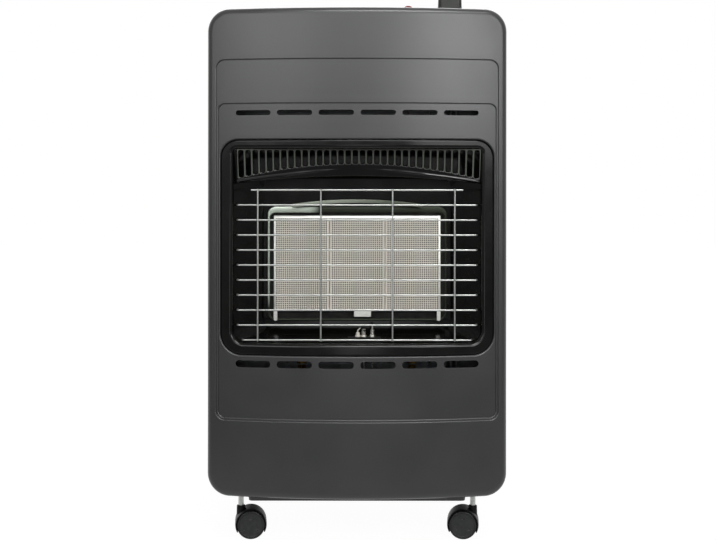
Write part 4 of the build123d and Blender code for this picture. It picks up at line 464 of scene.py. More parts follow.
class MeshDraft:
    """Collects the corners and faces of one piece, in millimetres."""

    def __init__(self) -> None:
        """Starts with no corners."""
        self.corners: list[Spot] = []
        self.faces: list[tuple[int, ...]] = []

    def row(self, points: list[Spot]) -> list[int]:
        """Adds corners.

        Args:
            points: places of the corners, in mm.

        Returns:
            Their numbers, for the faces.
        """
        first = len(self.corners)
        self.corners.extend(points)
        return list(range(first, len(self.corners)))

    def bridge(self, one: list[int], other: list[int], closed: bool = True) -> None:
        """Joins two rows of the same length with four-sided faces.

        Args:
            one: first row of corner numbers.
            other: second row of corner numbers.
            closed: whether the rows are rings.
        """
        count = len(one)
        for step in range(count if closed else count - 1):
            after = (step + 1) % count
            self.faces.append((one[step], one[after], other[after], other[step]))

    def stack(self, rows: list[list[int]], closed: bool = True, capped: bool = False) -> None:
        """Joins each row to the next.

        Args:
            rows: rows of corner numbers, all of one length.
            closed: whether the rows are rings.
            capped: whether the first and the last ring each close with one face.
        """
        for one, other in zip(rows, rows[1:]):
            self.bridge(one, other, closed)
        if capped:
            self.faces.extend((tuple(rows[0]), tuple(rows[-1])))

    def tube(self, path: list[Vector], radius: float, sides: int) -> None:
        """Sweeps a round bar with slightly domed ends along a path.

        Args:
            path: middle line of the bar, in mm.
            radius: radius of the bar, in mm.
            sides: number of sides of the bar.
        """
        way = (path[1] - path[0]).normalized()
        across = way.orthogonal().normalized()
        rings = []
        stops = [(path[0], 0.5, -0.4), *[(spot, 1.0, 0.0) for spot in path], (path[-1], 0.5, 0.4)]
        for step, (spot, share, push) in enumerate(stops):
            near = min(max(step - 1, 0), len(path) - 1)
            before, after = path[max(near - 1, 0)], path[min(near + 1, len(path) - 1)]
            way = (after - before).normalized()
            across = (across - way * across.dot(way)).normalized()
            upright = way.cross(across)
            centre = spot + way * (push * radius)
            reach = radius * share
            ring = [centre + reach * (across * math.cos(t) + upright * math.sin(t)) for t in turns(sides)]
            rings.append(self.row([tuple(place) for place in ring]))
        self.stack(rings, capped=True)

    def build(
        self, name: str, smooth_degrees: float = 40.0, facing: Vector | None = None
    ) -> bpy.types.Object:
        """Makes the piece, with its faces turned outwards and its shallow edges smooth.

        Args:
            name: name of the piece.
            smooth_degrees: edges sharper than this stay sharp.
            facing: way that an open sheet looks, or None for a closed piece.

        Returns:
            The new object.
        """
        mesh = bpy.data.meshes.new(name)
        mesh.from_pydata([tuple(c * MM for c in corner) for corner in self.corners], [], self.faces)
        work = bmesh.new()
        work.from_mesh(mesh)
        bmesh.ops.remove_doubles(work, verts=work.verts, dist=WELD_MM * MM)
        bmesh.ops.recalc_face_normals(work, faces=work.faces)
        if facing and sum(face.normal.dot(facing) * face.calc_area() for face in work.faces) < 0:
            bmesh.ops.reverse_faces(work, faces=work.faces)
        work.to_mesh(mesh)
        work.free()
        mesh.polygons.foreach_set("use_smooth", [True] * len(mesh.polygons))
        mesh.set_sharp_from_angle(angle=math.radians(smooth_degrees))
        piece = bpy.data.objects.new(name, mesh)
        bpy.context.scene.collection.objects.link(piece)
        return piece


def rounded_path(points: list[Vector], bend: float, steps: int = 6) -> list[Vector]:
    """Rounds the corners of a line of straight runs.

    Args:
        points: ends and corners of the runs, in mm.
        bend: length that each corner takes from its two runs, in mm.
        steps: pieces per corner.

    Returns:
        Points along the rounded line.
    """
    path = [points[0]]
    for before, corner, after in zip(points, points[1:], points[2:]):
        start = corner + (before - corner).normalized() * bend
        end = corner + (after - corner).normalized() * bend
        for step in range(steps + 1):
            t = step / steps
            path.append(start * (1 - t) ** 2 + corner * (2 * t * (1 - t)) + end * t**2)
    path.append(points[-1])
    return path


# ------------------------------------------------------------------ louvre plate
@dataclass
class LouvreHood:
    """Sloping plate under the top of the window: stamped slots with rolled rims, a ridge and a lip."""

    half: float = 171.7
    top: float = 552.7
    edge_y: float = -186.5
    top_y: float = -1.0
    low_y: float = 9.0
    opening_top: float = 553.0
    pitch: float = 9.93
    shift: float = 2.4
    count: int = 34
    slot_half: float = 3.1
    rim: float = 1.87
    roll_depth: float = 2.4
    arch_z: float = 533.0
    arch_radius: float = 690.0
    lip_z: float = 517.0
    lip_radius: float = 1350.0
    ridge_drop: float = 6.8
    ridge_rise: float = 1.6
    ridge_width: float = 1.5
    ridge_from: float = 100.0
    highlight_depth: float = 0.45
    highlight_low: float = 0.6
    sheet: float = 0.9
    flange: float = 8.0
    corner_steps: int = 3
    roll_steps: int = 5
    lower_rows: int = 18
    ridge_limit: float = 0.66
    ridge_fade: float = 1.2
    lip_roll: float = 1.6
    lip_back: float = 4.0

    def place(self, x: float, z: float, depth: float) -> Spot:
        """Point of the sloping plate, pushed back by depth."""
        share = (self.opening_top - z) / (self.opening_top - self.lip_z)
        return (x, self.edge_y + self.top_y + share * (self.low_y - self.top_y) + depth, z)

    def arch(self, x: float) -> float:
        """Height of the arch on which the slots end."""
        return self.arch_z - self.arch_radius + math.sqrt(self.arch_radius**2 - x * x)

    def lip(self, x: float) -> float:
        """Height of the plate's lower lip."""
        return self.lip_z - self.lip_radius + math.sqrt(self.lip_radius**2 - x * x)

    def line_levels(self, x: float) -> list[float]:
        """Heights of the corners on the line between two slots, from the bottom up.

        Args:
            x: place of the line.

        Returns:
            The heights, in mm.
        """
        low, high = self.arch(x) - self.rim, self.top
        end = self.rim + self.slot_half
        steps = [end * step / self.corner_steps for step in range(self.corner_steps + 1)]
        return [low + rise for rise in steps] + [high - rise for rise in reversed(steps)]

    def border(self, left: float, right: float) -> list[Flat]:
        """Outer ring of one slot's cell: up its left line, along the top, down the right, back below.

        Args:
            left: place of the cell's left line.
            right: place of its right line.

        Returns:
            The ring's x and z.
        """
        count = 2 * self.corner_steps
        across = [left + (right - left) * step / count for step in range(count + 1)]
        ring = [(left, z) for z in self.line_levels(left)]
        ring += [(x, self.top) for x in across[1:-1]]
        ring += [(right, z) for z in reversed(self.line_levels(right))]
        ring += [(x, self.arch(x) - self.rim) for x in reversed(across[1:-1])]
        return ring

    def slot(self, middle: float) -> list[Flat]:
        """Outline of one slot, with as many points as its cell's outer ring.

        Args:
            middle: place of the slot's middle line.

        Returns:
            The outline's x and z.
        """
        steps = self.corner_steps
        low, high = self.arch(middle) + self.slot_half, self.top - self.rim - self.slot_half
        stretches = (
            (225, low, 0, steps + 1), (180, high, 0, steps + 1), (135, high, 1, 2 * steps),
            (45, high, 0, steps + 1), (0, low, 0, steps + 1), (-45, low, 1, 2 * steps),
        )
        outline = []
        for start, z, first, last in stretches:
            for step in range(first, last):
                turn = math.radians(start - 45 * step / steps)
                across, up = self.slot_half * math.cos(turn), self.slot_half * math.sin(turn)
                outline.append((middle + across, z + up))
        return outline

    def add_cell(self, draft: MeshDraft, left: float, right: float) -> None:
        """Adds one slot with its rolled rim.

        Args:
            draft: mesh that gets the faces.
            left: place of the cell's left line.
            right: place of its right line.
        """
        outer, inner = self.border(left, right), self.slot((left + right) / 2)
        rows = []
        for turn in quarter(self.roll_steps):
            share, depth = math.sin(turn), self.roll_depth * (1 - math.cos(turn))
            ring = [
                self.place(a + (c - a) * share, b + (d - b) * share, depth)
                for (a, b), (c, d) in zip(outer, inner)
            ]
            rows.append(draft.row(ring))
        rows.append(draft.row([self.place(x, z, self.roll_depth + self.sheet) for x, z in inner]))
        draft.stack(rows)

    def lines(self) -> list[float]:
        """Places of the lines between the slots."""
        return [self.shift + (step - self.count / 2) * self.pitch for step in range(self.count + 1)]

    def on_painted_highlight(self, x: float, y: float, z: float) -> bool:
        """Whether a point is on the crest of a rim between the first slot and the last, where the highlight is
        painted.
        """
        lines = self.lines()
        between, over = lines[0] < x < lines[-1], z > self.arch(x) - self.highlight_low
        return between and over and y - self.place(x, z, 0.0)[1] < self.highlight_depth

    def columns(self) -> list[float]:
        """Places of the upright lines under the slots, with the plate's two side edges."""
        lines = self.lines()
        fine = [
            left + self.pitch * step / (2 * self.corner_steps)
            for left in lines[:-1]
            for step in range(2 * self.corner_steps)
        ]
        return [-self.half, *fine, lines[-1], self.half]

    def below(self, x: float) -> list[Spot]:
        """Points from the slots down to the rolled lip, with the ridge between.

        Args:
            x: place of the line.

        Returns:
            The points, from the top down.
        """
        high, low = self.arch(x) - self.rim, self.lip(x)
        room = high - low
        ridge = min(self.ridge_drop, self.ridge_limit * room)
        rise = self.ridge_rise * min(1.0, abs(x) / self.ridge_from) ** 1.5
        points = []
        for step in range(self.lower_rows + 1):
            drop = room * step / self.lower_rows
            swell = math.exp(-(((drop - ridge) / self.ridge_width) ** 2))
            fade = min(1.0, drop / self.ridge_fade)
            points.append(self.place(x, high - drop, -rise * swell * fade))
        for turn in quarter(5)[1:]:
            fall, depth = self.lip_roll * math.sin(turn), self.lip_roll * (1 - math.cos(turn))
            points.append(self.place(x, low - fall, depth))
        points.append(self.place(x, low - self.lip_roll, self.lip_back))
        return points

    def build(self, workshop: "Workshop") -> None:
        """Makes the plate and dresses it, with a painted highlight on the crests of its rims.

        Args:
            workshop: gives the finish.
        """
        draft = MeshDraft()
        lines = self.lines()
        for left, right in zip(lines, lines[1:]):
            self.add_cell(draft, left, right)
        for line, edge in ((lines[0], -self.half), (lines[-1], self.half)):
            inner = draft.row([self.place(line, z, 0.0) for z in self.line_levels(line)])
            outer = draft.row([self.place(edge, z, 0.0) for z in self.line_levels(edge)])
            draft.bridge(inner, outer, closed=False)
        columns = self.columns()
        draft.stack([draft.row(self.below(x)) for x in columns], closed=False)
        back = [[self.place(x, self.top, depth) for x in columns] for depth in (0.0, self.flange)]
        draft.stack([draft.row(row) for row in back], closed=False)
        piece = draft.build("louvre_plate", smooth_degrees=50.0, facing=Vector((0.0, -1.0, 0.0)))
        thick = piece.modifiers.new("sheet", "SOLIDIFY")
        thick.thickness = self.sheet * MM
        thick.offset = -1.0
        workshop.hand_over(piece, "black_enamel", "root", "louvre_hood")
        # Painted highlight: the crests of the rims, near the plate's front, get a pale finish.
        workshop.second_finish(piece, "enamel_painted_highlight", self.on_painted_highlight)


# ------------------------------------------------------------------ burner plaques
@dataclass
class BurnerPlaques:
    """Three ceramic plaques, each pierced by rows of small flame ports.

    A real plaque has some 3,000 ports 1.2 mm across. They are drawn at about twice that pitch, the finest
    that the picture can show.
    """

    width: float = 77.9
    pitch: float = 78.9
    low: float = 324.5
    high: float = 458.6
    front: float = -146.5
    thick: float = 12.0
    border: float = 2.4
    columns: int = 24
    rows: int = 43
    port_radius: float = 1.2
    port_depth: float = 2.6
    dish: float = 0.3

    def add_face(self, draft: MeshDraft, middle: float) -> list[int]:
        """Adds the pierced front of one plaque.

        Args:
            draft: mesh that gets the faces.
            middle: x of the plaque's middle.

        Returns:
            The ring of corners round the pierced field.
        """
        left, right = middle - self.width / 2 + self.border, middle + self.width / 2 - self.border
        low, high = self.low + self.border, self.high - self.border
        wide, tall = 2 * self.columns, 2 * self.rows
        step_x, step_z = (right - left) / wide, (high - low) / tall
        grid = [
            draft.row([(left + i * step_x, self.front, low + j * step_z) for i in range(wide + 1)])
            for j in range(tall + 1)
        ]
        around = ((0, -1), (1, -1), (1, 0), (1, 1), (0, 1), (-1, 1), (-1, 0), (-1, -1))
        for j in range(1, tall, 2):
            for i in range(1, wide, 2):
                outer = [grid[j + dj][i + di] for di, dj in around]
                x, z = left + i * step_x, low + j * step_z
                rings = []
                # The port's mouth, its worn edge and its end.
                for share, depth in ((1.0, 0.0), (0.86, self.dish), (0.8, self.port_depth)):
                    ring = []
                    for di, dj in around:
                        size = self.port_radius * share / math.hypot(di, dj)
                        ring.append((x + size * di, self.front + depth, z + size * dj))
                    rings.append(draft.row(ring))
                draft.stack([outer, *rings])
                draft.faces.append(tuple(rings[-1]))
        ring = grid[0] + [row[-1] for row in grid[1:]] + list(reversed(grid[-1][:-1]))
        return ring + [row[0] for row in reversed(grid[1:-1])]

    def build(self, workshop: "Workshop") -> None:
        """Makes the three plaques and dresses them, with painted shade inside the flame ports.

        Args:
            workshop: gives the finish.
        """
        for place, side in enumerate(("left", "centre", "right")):
            middle = (place - 1) * self.pitch
            draft = MeshDraft()
            inner = self.add_face(draft, middle)
            rows = [inner]
            for inset, depth in ((0.7, 0.0), (0.0, 0.7), (0.0, self.thick)):
                half = self.width / 2 - inset
                low, high = self.low + inset, self.high - inset
                ring = []
                for number in inner:
                    x, _, z = draft.corners[number]
                    share_x = (x - middle) / (self.width / 2 - self.border)
                    share_z = (z - self.low - self.border) / (self.high - self.low - 2 * self.border)
                    ring.append((middle + share_x * half, self.front + depth, low + share_z * (high - low)))
                rows.append(draft.row(ring))
            draft.stack(rows)
            draft.faces.append(tuple(rows[-1]))
            piece = draft.build("plaque_" + side, smooth_degrees=30.0)
            workshop.hand_over(piece, "ceramic", "root", "ceramic_plaque_" + side)
            # Painted shade: the walls and ends of the ports, behind their mouths, get a dark finish.
            field_half, deepest = self.width / 2 - self.border, self.thick - 1.0
            workshop.second_finish(
                piece, "port_painted_shade",
                lambda x, y, _: abs(x - middle) < field_half and self.dish < y - self.front < deepest,
            )


# ------------------------------------------------------------------ burner surround
@dataclass
class BurnerSurround:
    """Pressed frame round the burner: a heat-tinted rim, broad along the top, whose pale upper left corner is a
    painted reflection, and a near-black gutter inside, painted as shade.
    """

    half: float = 127.4
    low: float = 310.0
    high: float = 472.8
    inner_half: float = 118.7
    inner_low: float = 323.6
    inner_high: float = 459.6
    rise: float = 3.4
    roll: float = 1.5
    gutter: float = 0.4
    corner_steps: int = 8

    def loop(self, inset: float, top: float, y: float, radius: float) -> list[Spot]:
        """Rounded rectangle that lies inset inside the outline, and top below its upper edge."""
        return self.rounded(self.half - inset, self.low + inset, self.high - top, y, radius)

    def rounded(self, wide: float, low: float, high: float, y: float, radius: float) -> list[Spot]:
        """Rounded rectangle between two heights, centred on x.

        Args:
            wide: half the width.
            low: lowest height.
            high: highest height.
            y: depth.
            radius: radius of the corners.

        Returns:
            The corners of the loop, in mm.
        """
        middles = ((wide, low, -90), (wide, high, 0), (-wide, high, 90), (-wide, low, 180))
        points = []
        for x, z, start in middles:
            centre_x = x - math.copysign(radius, x)
            centre_z = z + radius if z == low else z - radius
            for step in range(self.corner_steps + 1):
                turn = math.radians(start + 90 * step / self.corner_steps)
                points.append((centre_x + radius * math.cos(turn), y, centre_z + radius * math.sin(turn)))
        return points

    def build(self, workshop: "Workshop") -> None:
        """Makes the frame and dresses its rim, with its painted reflection, and its gutter, with painted shade.

        Args:
            workshop: gives the finishes.
        """
        front, back = (corner[1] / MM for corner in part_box("burner_surround"))
        draft = MeshDraft()
        face, gutter = front - self.rise, back - self.gutter
        # Each loop: distance inside the outline, distance below its top, depth, corner radius.
        shape = (
            (0.0, 0.0, back, 12.0), (0.0, 0.0, face + self.roll, 12.0), (0.25, 0.25, face + 0.7, 11.8),
            (0.8, 0.8, face + 0.15, 11.3), (1.4, 1.4, face, 10.7), (2.2, 7.8, face, 9.4),
            (2.8, 8.4, face + 0.15, 8.8), (3.3, 8.9, face + 0.7, 8.3), (3.6, 9.2, face + self.roll, 8.1),
            (3.6, 9.2, gutter, 8.1),
        )
        rows = [draft.row(self.loop(*step)) for step in shape]
        for y in (gutter, back):
            rows.append(draft.row(self.rounded(self.inner_half, self.inner_low, self.inner_high, y, 1.0)))
        draft.stack(rows)
        draft.bridge(rows[-1], rows[0])
        piece = draft.build("surround_rim", smooth_degrees=40.0)
        # The rim's pale upper left corner is a painted reflection in its finish.
        workshop.hand_over(piece, "aluminised_steel", "root", "burner_surround", finish="tempered_steel_painted_reflection")
        # Painted shade: the gutter behind the rim's rolled edge gets the near-black finish.
        workshop.second_finish(piece, "soot_and_painted_shade", lambda x, y, z: y > face + self.roll)


# ------------------------------------------------------------------ burner frame and arch
@dataclass
class BurnerFrame:
    """Bright strip round the plaques, with a leaning top lip, two legs and the middle clip."""

    half: float = 118.4
    low: float = 323.9
    high: float = 459.3
    lean: float = 1.4
    skin: float = 0.4
    side_lip: float = 3.0
    low_lip: float = 1.4
    top_lip: float = 3.8
    leg_width: float = 5.4
    leg_low: float = 310.2
    clip: Flat = (-4.4, 19.8)
    clip_low: float = 316.0
    tab_skin: float = 1.1

    def loop(self, share: float, grow: float, low_y: float, top_y: float) -> list[Spot]:
        """Rectangle inside the frame's outline.

        Args:
            share: how far across the lip, from its outer edge at zero to its inner edge at one.
            grow: further distance inside the outline, in mm.
            low_y: depth of the two lower corners.
            top_y: depth of the two upper corners.

        Returns:
            The four corners.
        """
        wide = self.half - share * self.side_lip - grow
        low, high = self.low + share * self.low_lip + grow, self.high - share * self.top_lip - grow
        return [(-wide, low_y, low), (wide, low_y, low), (wide, top_y, high), (-wide, top_y, high)]

    def add_tab(self, draft: MeshDraft, x0: float, x1: float, z0: float, z1: float, bend: float) -> None:
        """Adds a flat tab with a rounded lower end and a softened front edge.

        Args:
            draft: mesh that gets the faces.
            x0: left edge.
            x1: right edge.
            z0: lower end.
            z1: upper end.
            bend: radius of the two lower corners.
        """
        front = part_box("burner_frame")[0][1] / MM
        rows = []
        for inset, y in ((0.0, front + self.tab_skin), (0.0, front + 0.35), (0.3, front + 0.05)):
            left, right, low, high = x0 + inset, x1 - inset, z0 + inset, z1 - inset
            ring = [(left, y, high), (right, y, high)]
            for centre, start in ((right - bend, 0.0), (left + bend, -90.0)):
                for step in range(7):
                    turn = math.radians(start - 15.0 * step)
                    ring.append((centre + bend * math.cos(turn), y, low + bend + bend * math.sin(turn)))
            rows.append(draft.row(ring))
        draft.stack(rows, capped=True)

    def build(self, workshop: "Workshop") -> None:
        """Makes the frame and dresses it.

        Args:
            workshop: gives the finish.
        """
        front, back = (corner[1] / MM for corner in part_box("burner_frame"))
        outer = front + self.lean
        # Each loop: share of the way across the lip, distance further in, depth below, depth above.
        shape = (
            (0.0, 0.0, back, back), (0.0, 0.0, front + 0.9, outer + 0.7),
            (0.0, 0.2, front + 0.25, outer + 0.1),
            (0.12, 0.2, front + 0.05, front + 0.85 * self.lean), (1.0, -0.3, front, front + 0.05),
            (1.0, 0.0, front + 0.2, front + 0.2), (1.0, 0.0, front + self.skin, front + self.skin),
            (0.0, self.skin, front + self.skin, outer + self.skin), (0.0, self.skin, back, back),
        )
        draft = MeshDraft()
        rows = [draft.row(self.loop(*step)) for step in shape]
        draft.stack(rows)
        draft.bridge(rows[-1], rows[0])
        for side in (-1, 1):
            x0, x1 = sorted((side * self.half, side * (self.half - self.leg_width)))
            self.add_tab(draft, x0, x1, self.leg_low, self.low + 1.0, 2.4)
        self.add_tab(draft, *self.clip, self.clip_low, self.low + 0.8, 0.8)
        piece = draft.build("plaque_frame", smooth_degrees=35.0)
        # Painted highlight: the strip gets a paler copy of the aluminised finish.
        workshop.hand_over(piece, "aluminised_steel", "root", "burner_frame", finish="aluminised_painted_highlight")


@dataclass
class BurnerArch:
    """Arched lip above the burner, bent down along its front edge."""

    half: float = 92.0
    skin: float = 1.0
    drop: float = 5.2
    bend: float = 1.4
    steps: int = 48

    def height(self, x: float, low: float, high: float) -> float:
        """Height of the arch at x, which runs from low at its two ends to high in the middle."""
        rise = high - low
        radius = (self.half**2 + rise**2) / (2 * rise)
        return high - radius + math.sqrt(radius**2 - x * x)

    def section(self, z: float, front: float, back: float) -> list[Flat]:
        """Section of the bent sheet.

        Args:
            z: height of the sheet's upper face.
            front: depth of the front face.
            back: depth of the rear edge.

        Returns:
            Pairs of y and z, in mm.
        """
        upper, under = [(back, z)], []
        reach = self.bend - self.skin
        for turn in quarter(4):
            lift, push = math.cos(turn), math.sin(turn)
            upper.append((front + self.bend * (1 - push), z - self.bend * (1 - lift)))
            under.append((front + self.bend - reach * push, z - self.bend + reach * lift))
        foot = z - self.drop
        return [*upper, (front, foot), (front + self.skin, foot), *reversed(under), (back, z - self.skin)]

    def build(self, workshop: "Workshop") -> None:
        """Makes the arch and dresses it.

        Args:
            workshop: gives the finish.
        """
        (_, front, low), (_, back, high) = (tuple(c / MM for c in corner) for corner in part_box("burner_hood"))
        draft = MeshDraft()
        rows = []
        for step in range(self.steps + 1):
            x = self.half * (2 * step / self.steps - 1)
            section = self.section(self.height(x, low + self.skin, high), front, back)
            rows.append(draft.row([(x, y, z) for y, z in section]))
        draft.stack(rows, capped=True)
        piece = draft.build("burner_arch", smooth_degrees=40.0)
        # The arch's finish is pale at its left end: a painted reflection.
        workshop.hand_over(piece, "aluminised_steel", "root", "burner_hood", finish="heat_dulled_steel_painted_reflection")


# ------------------------------------------------------------------ wire guard
@dataclass
class FrontGuard:
    """Welded guard: level wires hooked back to the firebox, uprights in front, a weld at each crossing."""

    radius: float = 1.25
    wire_y: float = -183.5
    low: float = 287.6
    pitch: float = 20.84
    count: int = 11
    half: float = 167.0
    low_half: float = 160.0
    top_half: float = 147.0
    bend: float = 4.0
    uprights: tuple[float, ...] = (-137.9, -50.4, 49.1, 135.4)
    pressed: float = 0.35
    weld: float = 1.75
    weld_flatness: float = 0.7
    weld_sides: int = 10
    sides: int = 12

    def level_wire(self, step: int) -> list[Vector]:
        """Middle line of one level wire.

        Args:
            step: number of the wire, from the bottom.

        Returns:
            Points along the wire, in mm.
        """
        z, y = self.low + step * self.pitch, self.wire_y
        if step == self.count - 1:
            return [Vector((-self.top_half, y, z)), Vector((self.top_half, y, z))]
        half = self.low_half if step == 0 else self.half
        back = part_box("front_guard")[1][1] / MM
        ends = [(-half, back, z), (-half, y, z), (half, y, z), (half, back, z)]
        return rounded_path([Vector(end) for end in ends], self.bend)

    def add_weld(self, draft: MeshDraft, x: float, y: float, z: float) -> None:
        """Adds the flattened bead of one resistance weld.

        Args:
            draft: mesh that gets the faces.
            x: place of the upright.
            y: depth between the two wires.
            z: height of the level wire.
        """
        rings = []
        # Heights of the bead's rings, as shares of its radius.
        for level in (-0.92, -0.6, 0.0, 0.6, 0.92):
            wide = self.weld * math.sqrt(1 - level * level)
            deep, rise = self.weld_flatness * wide, z + self.weld * level
            spots = [(x + wide * math.cos(t), y + deep * math.sin(t), rise) for t in turns(self.weld_sides)]
            rings.append(draft.row(spots))
        draft.stack(rings, capped=True)

    def build(self, workshop: "Workshop") -> None:
        """Makes the guard and dresses it.

        Args:
            workshop: gives the finish.
        """
        draft = MeshDraft()
        for step in range(self.count):
            draft.tube(self.level_wire(step), self.radius, self.sides)
        front = self.wire_y - 2 * self.radius + self.pressed
        high = self.low + (self.count - 1) * self.pitch
        for x in self.uprights:
            ends = [Vector((x, front, self.low - self.radius)), Vector((x, front, high + self.radius))]
            draft.tube(ends, self.radius, self.sides)
            for step in range(self.count):
                self.add_weld(draft, x, (front + self.wire_y) / 2, self.low + step * self.pitch)
        piece = draft.build("wire_guard", smooth_degrees=40.0)
        workshop.hand_over(piece, "chromed_wire", "root", "front_guard")


# ------------------------------------------------------------------ casters
# Stem's x and y in mm, and the way that the caster trails, in degrees.
CASTERS = {
    "front_left": ((-165.8, -131.5), 5.5),
    "front_right": ((165.8, -131.5), 174.5),
    "rear_left": ((-165.8, 150.0), 75.0),
    "rear_right": ((165.8, 150.0), 105.0),
}


@dataclass
class CasterPart:
    """What a caster's wheels and hood share: the place of the axle, which trails behind the stem."""

    corner: str
    stem: Flat
    yaw: float
    trail: float = 14.0
    axle_z: float = 20.0

    def hub(self) -> Matrix:
        """Turns places measured from the middle of the axle into places on the heater, in mm."""
        turn = Matrix.Translation((*self.stem, self.axle_z)) @ Matrix.Rotation(math.radians(self.yaw), 4, "Z")
        return turn @ Matrix.Translation((self.trail, 0.0, 0.0))

    def set_out(self, draft: MeshDraft) -> None:
        """Moves the drafted corners from the axle's frame to their place."""
        hub = self.hub()
        draft.corners = [tuple(hub @ Vector(corner)) for corner in draft.corners]


@dataclass
class CasterWheels(CasterPart):
    """Twin wheels of one caster: rounded treads, a groove and a domed disc with three dimples."""

    radius: float = 20.0
    inner: float = 4.3
    outer: float = 17.3
    shoulder: float = 1.8
    groove_radius: float = 17.2
    groove_half: float = 0.55
    groove_depth: float = 0.9
    disc_fall: float = 0.9
    disc_rings: int = 15
    dimple_ring: float = 10.2
    dimple_radius: float = 3.0
    dimple_depth: float = 0.9
    dimple_slope: float = 2.2
    axle: float = 2.0
    sides: int = 72

    def profile(self) -> list[Flat]:
        """Section of one wheel from its inner side over the tread to the edge of the disc.

        Returns:
            Pairs of place along the axle and radius, in mm.
        """
        points = [(self.inner, self.axle)]
        size = self.shoulder
        bend = [(size * (1 - math.cos(turn)), size * (1 - math.sin(turn))) for turn in quarter(5)]
        points += [(self.inner + along, self.radius - drop) for along, drop in bend]
        points += [(self.outer - along, self.radius - drop) for along, drop in reversed(bend)]
        half, depth = self.groove_half, self.groove_depth
        groove = ((half, 0.15), (half * 0.6, depth), (-half * 0.6, depth), (-half, 0.15))
        return points + [(self.outer - sink, self.groove_radius + out) for out, sink in groove]

    def dimple(self, x: float, z: float) -> float:
        """Measures the three dimples of a disc.

        Args:
            x: place across the disc, in mm.
            z: place up the disc, in mm.

        Returns:
            Depth at that point, in mm.
        """
        deepest = 0.0
        for turn in (90.0, 210.0, 330.0):
            dx = x - self.dimple_ring * math.cos(math.radians(turn))
            dz = z - self.dimple_ring * math.sin(math.radians(turn))
            share = max(0.0, 1.0 - math.hypot(dx, dz) / self.dimple_radius)
            deepest = max(deepest, self.dimple_depth * min(1.0, self.dimple_slope * share))
        return deepest

    def on_disc(self, x: float, y: float, z: float) -> bool:
        """Whether a point of the finished wheels is on one of the two discs."""
        across, along, up = self.hub().inverted() @ Vector((x, y, z))
        inside = math.hypot(across, up) < self.groove_radius - self.groove_half
        return inside and abs(along) > self.outer - 2 * self.groove_depth

    def add_wheel(self, draft: MeshDraft, side: int) -> None:
        """Adds one of the two wheels.

        Args:
            draft: mesh that gets the faces.
            side: minus one or one.
        """
        around = [(math.cos(turn), math.sin(turn)) for turn in turns(self.sides)]
        rows = []
        for along, radius in self.profile():
            rows.append(draft.row([(radius * x, side * along, radius * z) for x, z in around]))
        disc = self.groove_radius - self.groove_half
        for step in range(1, self.disc_rings):
            radius = disc * (1 - step / self.disc_rings)
            level = self.outer - self.disc_fall * (radius / disc) ** 4
            spots = [(radius * x, radius * z) for x, z in around]
            rows.append(draft.row([(x, side * (level - self.dimple(x, z)), z) for x, z in spots]))
        draft.stack(rows, capped=True)

    def build(self, workshop: "Workshop") -> None:
        """Makes both wheels with their axle, in place, and dresses them.

        Args:
            workshop: gives the finish.
        """
        draft = MeshDraft()
        for side in (-1, 1):
            self.add_wheel(draft, side)
        draft.tube([Vector((0, -self.inner - 1, 0)), Vector((0, self.inner + 1, 0))], self.axle, 24)
        self.set_out(draft)
        piece = draft.build("wheels_" + self.corner, smooth_degrees=40.0)
        workshop.hand_over(piece, "black_plastic", "wheels_" + self.corner, "caster_wheels_" + self.corner)
        workshop.second_finish(piece, "scuffed_nylon", self.on_disc)


